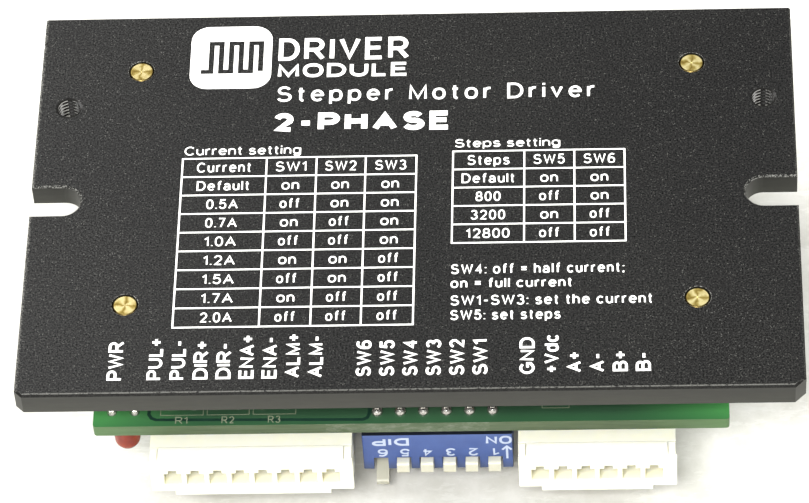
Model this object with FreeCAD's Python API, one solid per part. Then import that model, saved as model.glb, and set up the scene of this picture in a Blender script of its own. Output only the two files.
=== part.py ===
import FreeCAD, Part
import os, math

os.makedirs("parts", exist_ok=True)
V = FreeCAD.Vector

# ------------------------------------------------------------------ driving sizes (mm)
PLATE_X, PLATE_T = 86.0, 3.0                     # heat-sink plate
PLATE_Y0, PLATE_Y1 = -27.8, 27.5
GAP = 5.0                                        # standoff height
PCB_X0, PCB_X1 = -35.2, 34.8
PCB_Y0, PCB_Y1 = -26.0, 22.75
PCB_T = 1.6
STAND = 10.4                                     # tallest parts under the board
SLOT_W, SLOT_Y = 4.1, -0.11                      # side U-slots
SLOT_D = {-1: 5.65, 1: 5.85}
TAP_X, TAP_Y = 39.5, 13.7                        # M3 tapped holes
TAP_CREST, TAP_ROOT, TAP_PITCH = 1.25, 1.5, 0.5
STUDS = [(-31.5, 19.15), (31.5, 19.15), (-31.5, -15.2), (31.5, -15.2)]
STUD_R, STUD_HOLE_R, STUD_SINK = 1.42, 1.48, 0.10
HEX_AF = 5.0
# connectors: 2.5 mm pitch, side entry
HDR_FRONT, HDR_BACK = -27.7, -19.0
PLUG_FACE = -29.6
SIG_N, SIG_CX, SIG_RIM_CX, SIG_RIM_W = 8, -17.80, -17.80, 22.40
POW_N, POW_CX, POW_RIM_CX, POW_RIM_W = 6, 20.23, 20.30, 17.36
PITCH = 2.5
# piano DIP switch
DIP_CX, DIP_W, DIP_FACE, DIP_D = 2.62, 16.6, -25.85, 9.9
DIP_TOP, DIP_BOT = -10.40, -16.45
DIP_PITCH = 2.54
KEY_W, KEY_SLOT_W, KEY_SLOT_TOP = 1.38, 1.62, -14.45
KEY_SHIFT = (0.10, -0.05, 0.06, 0.02, -0.07, -0.08)   # side play each lever has taken up
KEY_PIVOT_Y, KEY_PIVOT_Z = -22.4, -15.87
KEY_ON, KEY_OFF = 17.0, -22.0                    # degrees above / below level
KEY_TIP, KEY_V0, KEY_V1 = 4.783, -1.05, 0.2525

# plate frame -> row frame
DX, DY, DZ = 0.0, 1.05, 20.0

ZT = -PLATE_T - GAP          # board top     -8.0
ZB = ZT - PCB_T              # board underside -9.6
FLOOR = ZB - STAND           # -20.0


# ------------------------------------------------------------------ helpers
def box(x0, x1, y0, y1, z0, z1):
    return Part.makeBox(x1 - x0, y1 - y0, z1 - z0, V(x0, y0, z0))


def cyl(x, y, z0, z1, r):
    return Part.makeCylinder(r, z1 - z0, V(x, y, z0), V(0, 0, 1))


def cone(x, y, z0, z1, r0, r1):
    return Part.makeCone(r0, r1, z1 - z0, V(x, y, z0), V(0, 0, 1))


def prism(pts, vec):
    w = Part.makePolygon([V(*p) for p in pts] + [V(*pts[0])])
    return Part.Face(w).extrude(V(*vec))


def revolve(profile, x, y):
    pts = [V(x + r, y, z) for r, z in profile]
    w = Part.makePolygon(pts + [pts[0]])
    return Part.Face(w).revolve(V(x, y, 0), V(0, 0, 1), 360)


def hexagon(x, y, z0, z1, af):
    r = af / math.sqrt(3)
    pts = [(x + r * math.cos(math.radians(60 * k + 30)), y + r * math.sin(math.radians(60 * k + 30)), z0) for k in range(6)]
    return prism(pts, (0, 0, z1 - z0))


def fuse(shapes):
    s = shapes[0]
    return s.multiFuse(shapes[1:]).removeSplitter() if len(shapes) > 1 else s


def cut(shape, tools):
    return shape.cut(Part.makeCompound(tools)) if tools else shape


def pick(shape, fn):
    return [e for e in shape.Edges if fn(e)]


def soften(shape, r, fn, chamfer=False):
    edges = pick(shape, fn)
    if not edges:
        return shape
    try:
        s = shape.makeChamfer(r, edges) if chamfer else shape.makeFillet(r, edges)
        if s.isValid() and s.Volume > 0:
            return s
    except Exception:
        pass
    return shape


def mid(e):
    b = e.BoundBox
    return ((b.XMin + b.XMax) / 2, (b.YMin + b.YMax) / 2, (b.ZMin + b.ZMax) / 2)


def vertical(e):
    b = e.BoundBox
    return b.ZLength > 1e-6 and b.XLength < 1e-6 and b.YLength < 1e-6


def solids(shapes):
    out = []
    for s in shapes:
        out += s.Solids if s.Solids else [s]
    return Part.makeCompound(out) if len(out) > 1 else out[0]


def save(name, shapes):
    s = solids(shapes if isinstance(shapes, list) else [shapes])
    s = s.copy()
    s.translate(V(DX, DY, DZ))
    s.exportStep("parts/%s.step" % name)
    PARTS[name] = s


PARTS = {}

# ------------------------------------------------------------------ heat-sink plate
hx, hy, fy = PLATE_X / 2, PLATE_Y1, PLATE_Y0
CL, CR = 0.85, 1.20                              # hand-dressed front corners
plate = prism([(-hx + CL, fy, -PLATE_T), (hx - CR, fy, -PLATE_T), (hx, fy + CR, -PLATE_T), (hx, hy, -PLATE_T),
               (-hx, hy, -PLATE_T), (-hx, fy + CL, -PLATE_T)], (0, 0, PLATE_T))
plate = soften(plate, 0.3, lambda e: vertical(e) and mid(e)[1] > hy - 0.01)
tools = []
for sx in (-1, 1):
    xc = sx * (hx - SLOT_D[sx] + SLOT_W / 2)
    tools.append(cyl(xc, SLOT_Y, -PLATE_T - 1, 1, SLOT_W / 2))
    x0, x1 = sorted((xc, sx * (hx + 1)))
    tools.append(box(x0, x1, SLOT_Y - SLOT_W / 2, SLOT_Y + SLOT_W / 2, -PLATE_T - 1, 1))
plate = cut(plate, [fuse(tools[0:2]), fuse(tools[2:4])])
plate = soften(plate, 0.22, lambda e: abs(e.BoundBox.ZMin) < 1e-6 and abs(e.BoundBox.ZMax) < 1e-6, True)
plate = soften(plate, 0.18, lambda e: abs(e.BoundBox.ZMin + PLATE_T) < 1e-6 and abs(e.BoundBox.ZMax + PLATE_T) < 1e-6, True)
holes = []
for x, y in STUDS:
    holes.append(fuse([cyl(x, y, -PLATE_T - 1, 1, STUD_HOLE_R), cone(x, y, -0.06, 0.02, STUD_HOLE_R, STUD_HOLE_R + 0.08)]))
prof = [(0, -PLATE_T - 0.5), (TAP_CREST, -PLATE_T - 0.5)]
for k in range(5, 0, -1):
    z = -0.10 - TAP_PITCH * k                    # upper edge of a crest flat; the groove above it
    prof += [(TAP_CREST, z), (TAP_ROOT, z + 0.16), (TAP_ROOT, z + 0.20), (TAP_CREST, z + 0.36)]
prof += [(TAP_CREST, -0.10), (1.56, 0.0), (1.60, 0.02), (1.60, 0.5), (0, 0.5)]
for sx in (-1, 1):
    holes.append(revolve(prof, sx * TAP_X, TAP_Y))
plate = cut(plate, holes)
# small handling nicks on the plate's edge
nicks = []
for x, y, a in ((hx, 26.1, 25), (-hx, 23.4, -20), (-hx, 20.5, 35)):
    b = box(-0.28, 0.28, -0.35, 0.35, -0.28, 0.28)
    b.rotate(V(0, 0, 0), V(0, 1, 0), 45)
    b.rotate(V(0, 0, 0), V(0, 0, 1), a)
    b.translate(V(x + (0.05 if x > 0 else -0.05), y, -0.05))
    nicks.append(b)
plate = cut(plate, nicks)
save("heatsink_plate", plate)

# ------------------------------------------------------------------ standoffs and board screws
stand, screws = [], []
for x, y in STUDS:
    hexa = hexagon(x, y, ZT, -PLATE_T, HEX_AF)
    bevel = fuse([cone(x, y, ZT, ZT + 0.35, 2.62, 2.95), cyl(x, y, ZT + 0.35, -PLATE_T - 0.35, 2.95), cone(x, y, -PLATE_T - 0.35, -PLATE_T, 2.95, 2.62)])
    hexa = hexa.common(bevel)
    stud = fuse([cyl(x, y, -PLATE_T, -STUD_SINK - 0.09, STUD_R), cone(x, y, -STUD_SINK - 0.09, -STUD_SINK, STUD_R, STUD_R - 0.09)])
    s = hexa.fuse(stud).removeSplitter()
    s = s.cut(cyl(x, y, ZT - 1, ZT + 4.0, 1.53))
    # turned centre mark on the stud end
    s = s.cut(cone(x, y, -STUD_SINK - 0.07, -STUD_SINK + 0.01, 0.03, 0.11))
    stand.append(s)
    shank = fuse([cyl(x, y, ZB, ZT + 3.0, 1.5), cone(x, y, ZT + 3.0, ZT + 3.3, 1.5, 1.2)])
    head = cyl(x, y, ZB - 1.9, ZB, 2.75)
    head = soften(head, 0.9, lambda e: abs(e.BoundBox.ZMax - (ZB - 1.9)) < 1e-6 and abs(e.BoundBox.ZMin - (ZB - 1.9)) < 1e-6)
    scr = head.fuse(shank)
    cross = [box(x - 1.55, x + 1.55, y - 0.24, y + 0.24, ZB - 2.5, ZB - 0.75), box(x - 0.24, x + 0.24, y - 1.55, y + 1.55, ZB - 2.5, ZB - 0.75),
             cone(x, y, ZB - 2.0, ZB - 0.55, 1.15, 0.25)]
    scr = scr.cut(fuse(cross))
    screws.append(scr)
save("brass_standoffs", stand)
save("board_screws", screws)

# ------------------------------------------------------------------ through-hole positions
PIN_Y = -17.3
sig_pins_x = [SIG_CX + (k - (SIG_N - 1) / 2) * PITCH for k in range(SIG_N)]
pow_pins_x = [POW_CX + (k - (POW_N - 1) / 2) * PITCH for k in range(POW_N)]
dip_x = [DIP_CX + (k - 2.5) * DIP_PITCH for k in range(6)]
dip_pin_x = [x - 0.12 for x in dip_x]
DIP_ROW1, DIP_ROW2 = -24.35, -24.35 + 7.62
LED_X, LED_Y = -31.90, -23.95
LENS_X, LENS_Y = -31.78, -24.20
HALF = 0.32          # half of a 0.64 square pin
PORT_Z = -12.95      # pin axis height

# ------------------------------------------------------------------ header, pins and plug builder
def header(n, cx):
    w = (n - 1) * PITCH + 4.75
    x0, x1 = cx - w / 2, cx + w / 2
    zt, zb = ZB, ZB - 5.7
    s = box(x0, x1, HDR_FRONT, HDR_BACK, zb, zt)
    s = soften(s, 0.25, lambda e: abs(e.BoundBox.YLength - (HDR_BACK - HDR_FRONT)) < 1e-6 and mid(e)[2] < zb + 0.1)
    cav = box(x0 + 0.85, x1 - 0.85, HDR_FRONT - 1, HDR_BACK - 0.8, zb + 0.65, zt - 0.8)
    s = s.cut(cav)
    t = []
    # polarising windows in the outer wall and relief notches at the mouth
    for sx in (-1, 1):
        xc = cx + sx * (w / 2 - 3.6)
        t.append(box(xc - 1.0, xc + 1.0, HDR_FRONT - 1, HDR_FRONT + 4.2, zb - 1, zb + 1.2))
        xs = cx + sx * (w / 2)
        t.append(box(min(xs, xs - sx * 1.2), max(xs, xs - sx * 1.2), HDR_FRONT - 1, HDR_FRONT + 1.6, ZB - 3.6, ZB - 2.2))
    for k in range(n):
        x = cx + (k - (n - 1) / 2) * PITCH
        t.append(box(x - HALF, x + HALF, HDR_BACK - 1.2, HDR_BACK + 0.5, PORT_Z - HALF, PORT_Z + HALF))
        # slot under each pin at the back so the tail is seen leaving the wall
        t.append(box(x - 0.55, x + 0.55, HDR_BACK - 0.30, HDR_BACK + 0.5, PORT_Z - 0.55, ZB + 0.5))
    s = cut(s, t)
    return s


def header_pins(xs):
    out = []
    for x in xs:
        a = box(x - HALF, x + HALF, -25.6, PIN_Y + HALF, PORT_Z - HALF, PORT_Z + HALF)
        tip = soften(a, 0.16, lambda e: abs(e.BoundBox.YMin + 25.6) < 1e-6 and abs(e.BoundBox.YMax + 25.6) < 1e-6, True)
        b = box(x - HALF, x + HALF, PIN_Y - HALF, PIN_Y + HALF, PORT_Z - HALF, ZT + 1.05)
        p = tip.fuse(b).removeSplitter()
        p = soften(p, 0.30, lambda e: abs(mid(e)[1] - (PIN_Y + HALF)) < 1e-6 and abs(mid(e)[2] - (PORT_Z - HALF)) < 1e-6 and e.BoundBox.XLength > 0.5)
        out.append(p)
    return out


def plug(n, cx, rim_cx, rim_w):
    """rim at the wire end, block with two side arms behind it, insert that fills the header"""
    w = (n - 1) * PITCH + 4.75
    zt, zb = ZB, ZB - 5.5
    rim = box(rim_cx - rim_w / 2, rim_cx + rim_w / 2, PLUG_FACE, PLUG_FACE + 0.5, zb, zt - 0.45)
    rim = soften(rim, 0.18, lambda e: abs(e.BoundBox.YLength - 0.5) < 1e-6)
    xs = w / 2 - 0.85                            # slit between the block and each arm
    block = box(cx - xs + 0.035, cx + xs - 0.035, PLUG_FACE, HDR_FRONT - 0.03, zb + 0.05, zt)
    block = soften(block, 0.16, lambda e: e.BoundBox.XLength > 5 and abs(mid(e)[1] - PLUG_FACE) < 1e-6 and mid(e)[2] > zt - 0.01)
    low = box(cx - w / 2 + 0.04, cx + w / 2 - 0.04, PLUG_FACE + 0.3, HDR_FRONT - 0.03, zb + 0.05, zt - 0.9)
    x0, x1 = cx - w / 2 + 0.85 + 0.09, cx + w / 2 - 0.85 - 0.09
    ins = box(x0, x1, PLUG_FACE + 1.0, HDR_BACK - 0.9, ZB - 5.7 + 0.65 + 0.09, ZB - 0.8 - 0.09)
    ins = soften(ins, 0.35, lambda e: abs(e.BoundBox.YMax - (HDR_BACK - 0.9)) < 1e-6 and abs(e.BoundBox.YMin - (HDR_BACK - 0.9)) < 1e-6, True)
    ledge = box(cx - w / 2 + 2.5, cx + w / 2 - 2.5, PLUG_FACE, PLUG_FACE + 1.7, zb - 0.72, zb + 0.2)
    ledge = soften(ledge, 0.12, lambda e: abs(e.BoundBox.YLength - 1.7) < 1e-6 and mid(e)[2] < zb - 0.6)
    arms = []
    for sx in (-1, 1):
        a, b = sorted((cx + sx * (xs + 0.035), cx + sx * (w / 2 - 0.04)))
        arms.append(box(a, b, PLUG_FACE + 0.3, HDR_FRONT - 0.03, zt - 1.2, zt - 0.10))
    s = fuse([rim, block, low, ins, ledge] + arms)
    t = []
    for k in range(n):
        x = cx + (k - (n - 1) / 2) * PITCH
        wide = box(x - 0.975, x + 0.975, PLUG_FACE - 1, HDR_BACK, PORT_Z - 0.95, PORT_Z + 0.95)
        nar = box(x - 0.46, x + 0.46, PLUG_FACE - 1, HDR_BACK, PORT_Z, PORT_Z + 1.5)
        t.append(wide.fuse(nar))
    return cut(s, t)


save("signal_header", header(SIG_N, SIG_CX))
save("power_header", header(POW_N, POW_CX))
sig_pins = header_pins(sig_pins_x)
pow_pins = header_pins(pow_pins_x)
save("signal_header_pins", sig_pins)
save("power_header_pins", pow_pins)
save("signal_plug", plug(SIG_N, SIG_CX, SIG_RIM_CX, SIG_RIM_W))
save("power_plug", plug(POW_N, POW_CX, POW_RIM_CX, POW_RIM_W))

# ------------------------------------------------------------------ DIP switch
dx0, dx1 = DIP_CX - DIP_W / 2, DIP_CX + DIP_W / 2
dback = DIP_FACE + DIP_D
house = box(dx0, dx1, DIP_FACE, dback, DIP_BOT, DIP_TOP)
house = soften(house, 0.15, lambda e: mid(e)[1] < DIP_FACE + 0.01 and e.BoundBox.ZLength > 5)
feet = []
for x in (dx0 + 0.1, dx1 - 1.3):
    for y in (DIP_FACE + 1.2, dback - 1.6):
        feet.append(box(x, x + 1.2, y, y + 1.2, DIP_TOP - 0.3, ZB))
house = fuse([house] + feet)
base_box = (dx0 + 0.7, dx1 - 0.7, DIP_FACE + 0.75, dback - 0.75, DIP_TOP - 1.0, DIP_TOP)
t = [box(*base_box)]
for x in dip_x:
    t.append(box(x - KEY_SLOT_W / 2, x + KEY_SLOT_W / 2, DIP_FACE - 1, -21.55, DIP_BOT - 1, KEY_SLOT_TOP))
    # bearing recesses for the key's trunnions, open to the outside for snapping in
    t.append(Part.makeCylinder(0.46, KEY_SLOT_W + 0.56, V(x - KEY_SLOT_W / 2 - 0.28, KEY_PIVOT_Y, KEY_PIVOT_Z), V(1, 0, 0)))
dip_pins, dip_pin_holes = [], []
for x in dip_pin_x:
    for y in (DIP_ROW1, DIP_ROW2):
        p = box(x - 0.25, x + 0.25, y - 0.13, y + 0.13, DIP_TOP - 1.9, ZT + 0.75)
        dip_pins.append(p)
        dip_pin_holes.append(box(x - 0.27, x + 0.27, y - 0.15, y + 0.15, DIP_TOP - 2.0, ZT + 1))
house = cut(house, t + dip_pin_holes)
save("dip_housing", house)
base = box(base_box[0] + 0.03, base_box[1] - 0.03, base_box[2] + 0.03, base_box[3] - 0.03, base_box[4], base_box[5])
# base must stay clear of the housing's corner feet
base = cut(base, dip_pin_holes + [f_.copy() for f_ in feet])
save("dip_base", base)
save("dip_pins", dip_pins)
contacts = []
for x in dip_x:
    c = fuse([box(x - 0.4, x + 0.4, -24.2, -21.56, KEY_SLOT_TOP - 0.14, KEY_SLOT_TOP),
              box(x - 0.4, x + 0.4, -21.69, -21.55, KEY_SLOT_TOP - 1.1, KEY_SLOT_TOP)])
    contacts.append(c)
save("dip_contacts", contacts)


def key(x, deg):
    """lever built level with its pivot at the origin (outward = -Y), then tilted"""
    u = lambda a, v: (0.0, -a, v)
    pts = [u(0.0, 0.55), u(0.9, KEY_V1 + 0.05), u(KEY_TIP - 0.25, KEY_V1), u(KEY_TIP - 0.07, KEY_V1 - 0.06), u(KEY_TIP, KEY_V1 - 0.22),
           u(KEY_TIP, KEY_V0 + 0.18), u(KEY_TIP - 0.16, KEY_V0), u(1.55, KEY_V0), u(0.25, -0.50)]
    pts = [(-KEY_W / 2, p[1], p[2]) for p in pts]
    s = prism(pts, (KEY_W, 0, 0))
    hub = Part.makeCylinder(0.55, KEY_W, V(-KEY_W / 2, 0, 0), V(1, 0, 0))
    pin = Part.makeCylinder(0.40, KEY_W + 0.56, V(-KEY_W / 2 - 0.28, 0, 0), V(1, 0, 0))
    s = fuse([s, hub, pin])
    s.rotate(V(0, 0, 0), V(1, 0, 0), -deg)
    s.translate(V(x, KEY_PIVOT_Y, KEY_PIVOT_Z))
    return s


# key 6 is at the left of the row, key 1 at the right
for k in range(6):
    number = 6 - k
    save("dip_key_%d" % number, key(dip_x[k] + KEY_SHIFT[k], KEY_OFF if number == 6 else KEY_ON))

# ------------------------------------------------------------------ status LED
lens = fuse([cyl(LENS_X, LENS_Y, -12.0, ZB, 1.45), Part.makeSphere(1.45, V(LENS_X, LENS_Y, -12.0))])
led_pins, led_holes = [], []
for s_ in (-1, 1):
    x = LED_X + s_ * 1.27
    led_pins.append(box(x - 0.25, x + 0.25, LED_Y - 0.25, LED_Y + 0.25, ZB - 1.2, ZT + 0.62))
lens = cut(lens, [p.copy() for p in led_pins])
save("led_lens", lens)
save("led_leads", led_pins)

# ------------------------------------------------------------------ top side: power chips cooled through pads
ics, ic_leads, pads_ = [], [], []
for cx in (-13.0, 13.0):
    cy = 2.0
    b = box(cx - 4.85, cx + 4.85, cy - 2.2, cy + 2.2, ZT + 0.1, ZT + 1.1)
    ics.append(soften(b, 0.12, lambda e: abs(mid(e)[2] - (ZT + 1.1)) < 1e-6, True))
    for k in range(14):
        x = cx + (k - 6.5) * 0.65
        for sy in (-1, 1):
            y0, y1 = sorted((cy + sy * 2.2, cy + sy * 2.75))
            y2, y3 = sorted((cy + sy * 2.6, cy + sy * 3.25))
            ic_leads.append(fuse([box(x - 0.12, x + 0.12, y0, y1, ZT + 0.45, ZT + 0.6), box(x - 0.12, x + 0.12, min(cy + sy * 2.6, cy + sy * 2.75), max(cy + sy * 2.6, cy + sy * 2.75), ZT, ZT + 0.6),
                                  box(x - 0.12, x + 0.12, y2, y3, ZT, ZT + 0.14)]))
    pads_.append(box(cx - 5.5, cx + 5.5, cy - 4.2, cy + 4.2, ZT + 1.1, -PLATE_T))
save("driver_chips", ics)
save("driver_chip_leads", ic_leads)
save("thermal_pads", pads_)

# chip resistors at the front of the top side, plus passives on both sides
chips, chip_ends, caps, cap_ends = [], [], [], []


def chip(x, y, z, l, w, h, along_x, down, bodies, ends):
    """z is the board face; down=True hangs it under the board"""
    s = -1 if down else 1
    z0, z1 = sorted((z, z + s * h))
    e = 0.22 * l * 0.8
    if along_x:
        bodies.append(box(x - l / 2 + e, x + l / 2 - e, y - w / 2, y + w / 2, z0, z1))
        for q in (-1, 1):
            a, b = sorted((x + q * (l / 2 - e), x + q * l / 2))
            ends.append(box(a, b, y - w / 2 - 0.03, y + w / 2 + 0.03, z0, z1))
    else:
        bodies.append(box(x - w / 2, x + w / 2, y - l / 2 + e, y + l / 2 - e, z0, z1))
        for q in (-1, 1):
            a, b = sorted((y + q * (l / 2 - e), y + q * l / 2))
            ends.append(box(x - w / 2 - 0.03, x + w / 2 + 0.03, a, b, z0, z1))


for x in (-25.4, -20.35, -15.2):
    chip(x, -22.55, ZT, 3.2, 1.6, 0.55, True, False, chips, chip_ends)
for x, y in ((-24.5, -12.0), (-20.5, -12.0), (-16.5, -12.0), (18.0, -20.6), (22.0, -20.6), (-6.0, 9.0), (6.0, 9.0), (26.5, 6.0), (-26.5, 6.0)):
    chip(x, y, ZT, 2.0, 1.25, 0.5, True, False, chips, chip_ends)
for x, y in ((-22.0, 8.0), (22.0, 10.0), (0.0, 5.0), (0.0, -4.0), (-6.5, -8.0), (7.0, -8.0)):
    chip(x, y, ZT, 2.0, 1.25, 1.1, False, False, caps, cap_ends)
for x, y in ((-31.0, -6.0), (-31.0, -2.0), (-31.0, 2.0), (-31.0, 6.0), (-20.5, 6.5), (-16.5, 6.5), (-12.5, 6.5), (5.6, 1.5), (5.6, 5.0), (31.0, 4.0), (31.0, 8.0), (-24.0, 13.0), (-20.0, 13.0)):
    chip(x, y, ZB, 2.0, 1.25, 0.5, True, True, chips, chip_ends)
for x, y in ((-24.0, 1.2), (-20.6, 1.2), (8.8, 9.0), (12.4, 9.0), (29.5, -1.0), (-8.5, 16.5), (8.5, 16.5), (-3.0, -12.4), (4.5, -11.5)):
    chip(x, y, ZB, 2.0, 1.25, 1.2, False, True, caps, cap_ends)
save("chip_resistors", chips)
save("chip_resistor_ends", chip_ends)
save("chip_capacitors", caps)
save("chip_capacitor_ends", cap_ends)

# ------------------------------------------------------------------ underside: controller and isolated inputs
def gull(cx, cy, half, pitch, count, side, z, lw, reach, zlead):
    """gull-wing leads of a chip hanging under the board on +/-x or +/-y"""
    out = []
    ax, sg = side
    for k in range(count):
        p = (k - (count - 1) / 2) * pitch
        a0, a1, a2 = half, half + reach * 0.45, half + reach
        t_ = 0.14
        def bx(u0, u1, z0, z1):
            u0, u1 = sorted((sg * u0, sg * u1))
            if ax == "x":
                return box(cx + u0, cx + u1, cy + p - lw / 2, cy + p + lw / 2, z0, z1)
            return box(cx + p - lw / 2, cx + p + lw / 2, cy + u0, cy + u1, z0, z1)
        out.append(fuse([bx(a0, a1, z - zlead - t_, z - zlead), bx(a1 - t_, a1, z - zlead - t_, z), bx(a1 - t_, a2, z - t_, z)]))
    return out


mcx, mcy = -3.0, -5.0
mcu = box(mcx - 3.5, mcx + 3.5, mcy - 3.5, mcy + 3.5, ZB - 1.5, ZB - 0.1)
mcu = soften(mcu, 0.15, lambda e: abs(mid(e)[2] - (ZB - 1.5)) < 1e-6, True)
mcu = mcu.cut(cyl(mcx - 2.6, mcy + 2.6, ZB - 1.6, ZB - 1.42, 0.35))
save("controller_chip", mcu)
ml = []
for sd in (("x", 1), ("x", -1), ("y", 1), ("y", -1)):
    ml += gull(mcx, mcy, 3.5, 0.5, 12, sd, ZB, 0.22, 1.0, 0.7)
save("controller_leads", ml)

opto, opto_l = [], []
for x, y in ((-16.5, -11.5), (-11.0, -11.5), (-16.5, -2.0), (-11.0, -2.0)):
    b = box(x - 2.3, x + 2.3, y - 3.25, y + 3.25, ZB - 3.6, ZB - 0.15)
    b = soften(b, 0.3, lambda e: abs(mid(e)[2] - (ZB - 3.6)) < 1e-6 and (e.BoundBox.XLength > 3 or e.BoundBox.YLength > 3), True)
    b = b.cut(cyl(x - 1.5, y - 2.4, ZB - 3.7, ZB - 3.5, 0.4))
    opto.append(b)
    opto_l += gull(x, y, 3.25, 2.54, 2, ("y", 1), ZB, 0.7, 1.2, 1.8)
    opto_l += gull(x, y, 3.25, 2.54, 2, ("y", -1), ZB, 0.7, 1.2, 1.8)
save("optocouplers", opto)
save("optocoupler_leads", opto_l)

# ------------------------------------------------------------------ underside: supply section
reg = box(9.5 - 1.95, 9.5 + 1.95, -4.5 - 2.45, -4.5 + 2.45, ZB - 1.6, ZB - 0.12)
reg = soften(reg, 0.18, lambda e: abs(mid(e)[2] - (ZB - 1.6)) < 1e-6, True)
save("regulator_chip", reg)
save("regulator_leads", gull(9.5, -4.5, 1.95, 1.27, 4, ("x", 1), ZB, 0.4, 1.05, 0.75) + gull(9.5, -4.5, 1.95, 1.27, 4, ("x", -1), ZB, 0.4, 1.05, 0.75))

icx, icy = 15.6, 3.4
core = box(icx - 3.5, icx + 3.5, icy - 3.5, icy + 3.5, ZB - 4.0, ZB - 0.1)
core = soften(core, 1.2, vertical)
core = core.cut(cyl(icx, icy, ZB - 4.1, ZB - 3.7, 2.5).cut(cyl(icx, icy, ZB - 4.2, ZB - 3.6, 2.2)))
save("inductor_core", core)
tm = []
for q in (-1, 1):
    a, b = sorted((icx + q * 2.2, icx + q * 4.0))
    tm.append(box(a, b, icy - 1.2, icy + 1.2, ZB - 0.1, ZB))
save("inductor_terminals", tm)

cans, bases, cap_t = [], [], []
for x, y in ((-24.0, -8.0), (24.0, -8.0), (0.0, 17.0)):
    b = box(x - 4.15, x + 4.15, y - 4.15, y + 4.15, ZB - 1.5, ZB - 0.1)
    b = soften(b, 1.6, lambda e: vertical(e) and mid(e)[1] < y, True)
    b = b.cut(cyl(x, y, ZB - 1.6, ZB - 0.9, 4.0))
    bases.append(b)
    c = cyl(x, y, FLOOR, ZB - 0.95, 3.95)
    c = soften(c, 0.45, lambda e: abs(e.BoundBox.ZMin - FLOOR) < 1e-6 and abs(e.BoundBox.ZMax - FLOOR) < 1e-6)
    ring = Part.makeTorus(4.25, 0.5, V(x, y, ZB - 2.3), V(0, 0, 1))
    c = c.cut(ring)
    vent = [box(x - 2.4, x + 2.4, y - 0.12, y + 0.12, FLOOR - 0.1, FLOOR + 0.12), box(x - 0.12, x + 0.12, y - 2.4, y + 2.4, FLOOR - 0.1, FLOOR + 0.12)]
    c = c.cut(fuse(vent))
    cans.append(c)
    for q in (-1, 1):
        a, b2 = sorted((y + q * 2.6, y + q * 4.75))
        cap_t.append(box(x - 0.4, x + 0.4, a, b2, ZB - 0.1, ZB))
save("capacitor_cans", cans)
save("capacitor_bases", bases)
save("capacitor_terminals", cap_t)

sense, sense_e = [], []
for x, y in ((-14.5, 13.0), (14.5, 13.0)):
    chip(x, y, ZB, 6.3, 3.2, 0.6, True, True, sense, sense_e)
save("sense_resistors", sense)
save("sense_resistor_ends", sense_e)

dio, dio_l = [], []
for x, y in ((24.5, 1.2), (24.5, 13.5)):
    b = box(x - 2.15, x + 2.15, y - 1.3, y + 1.3, ZB - 2.2, ZB - 0.1)
    dio.append(soften(b, 0.25, lambda e: abs(mid(e)[2] - (ZB - 2.2)) < 1e-6, True))
    for sg in (-1, 1):
        dio_l += gull(x, y, 2.15, 1.0, 1, ("x", sg), ZB, 1.4, 0.7, 1.0)
save("diodes", dio)
save("diode_leads", dio_l)

xb = soften(box(-3.0 - 5.6, -3.0 + 5.6, 4.9 - 2.3, 4.9 + 2.3, ZB - 0.6, ZB - 0.08), 0.8, vertical)
save("crystal_base", xb)
xc_ = soften(box(-3.0 - 5.1, -3.0 + 5.1, 4.9 - 1.9, 4.9 + 1.9, ZB - 3.6, ZB - 0.6), 1.85, vertical)
xc_ = soften(xc_, 0.35, lambda e: abs(e.BoundBox.ZMin - (ZB - 3.6)) < 1e-6 and abs(e.BoundBox.ZMax - (ZB - 3.6)) < 1e-6)
save("crystal_can", xc_)

# ------------------------------------------------------------------ circuit board
board = box(PCB_X0, PCB_X1, PCB_Y0, PCB_Y1, ZB, ZT)
board = soften(board, 0.4, vertical)
bh = []
for x, y in STUDS:
    bh.append(cyl(x, y, ZB - 1, ZT + 1, 1.6))
tht = [(x, PIN_Y, 0.48) for x in sig_pins_x + pow_pins_x] + [(x, y, 0.34) for x in dip_pin_x for y in (DIP_ROW1, DIP_ROW2)]
tht += [(LED_X - 1.27, LED_Y, 0.40), (LED_X + 1.27, LED_Y, 0.40)]
for x, y, r in tht:
    bh.append(cyl(x, y, ZB - 1, ZT + 1, r))
board = cut(board, bh)
save("circuit_board", board)

# ------------------------------------------------------------------ solder fillets on the top of the board
sol = []
pin_solids = {}
for x in sig_pins_x + pow_pins_x:
    sol.append(cut(revolve([(0, ZT), (0.95, ZT), (0.80, ZT + 0.18), (0.52, ZT + 0.55), (0.48, ZT + 0.80), (0, ZT + 0.80)], x, PIN_Y),
                   [box(x - HALF, x + HALF, PIN_Y - HALF, PIN_Y + HALF, ZT - 1, ZT + 2)]))
for x in dip_pin_x:
    for y in (DIP_ROW1, DIP_ROW2):
        sol.append(cut(revolve([(0, ZT), (0.67, ZT), (0.64, ZT + 0.18), (0.53, ZT + 0.42), (0.36, ZT + 0.60), (0, ZT + 0.66)], x, y),
                       [box(x - 0.25, x + 0.25, y - 0.13, y + 0.13, ZT - 1, ZT + 2)]))
for s_ in (-1, 1):
    x = LED_X + s_ * 1.27
    sol.append(cut(revolve([(0, ZT), (0.60, ZT), (0.55, ZT + 0.12), (0.44, ZT + 0.36), (0.38, ZT + 0.50), (0, ZT + 0.50)], x, LED_Y),
                   [box(x - 0.25, x + 0.25, LED_Y - 0.25, LED_Y + 0.25, ZT - 1, ZT + 2)]))
save("solder_joints", sol)

# ------------------------------------------------------------------ report of the build
names = sorted(PARTS)
bb = FreeCAD.BoundBox()
bad = 0
for n in names:
    s = PARTS[n]
    bb.add(s.BoundBox)
    if not s.isValid() or not s.Solids:
        print("INVALID", n)
        bad += 1
print("nodes", len(names), "bad", bad)
print("bbox", [round(v, 3) for v in (bb.XMin, bb.XMax, bb.YMin, bb.YMax, bb.ZMin, bb.ZMax)])
print("volume", {n: round(PARTS[n].Volume, 2) for n in names})
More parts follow.
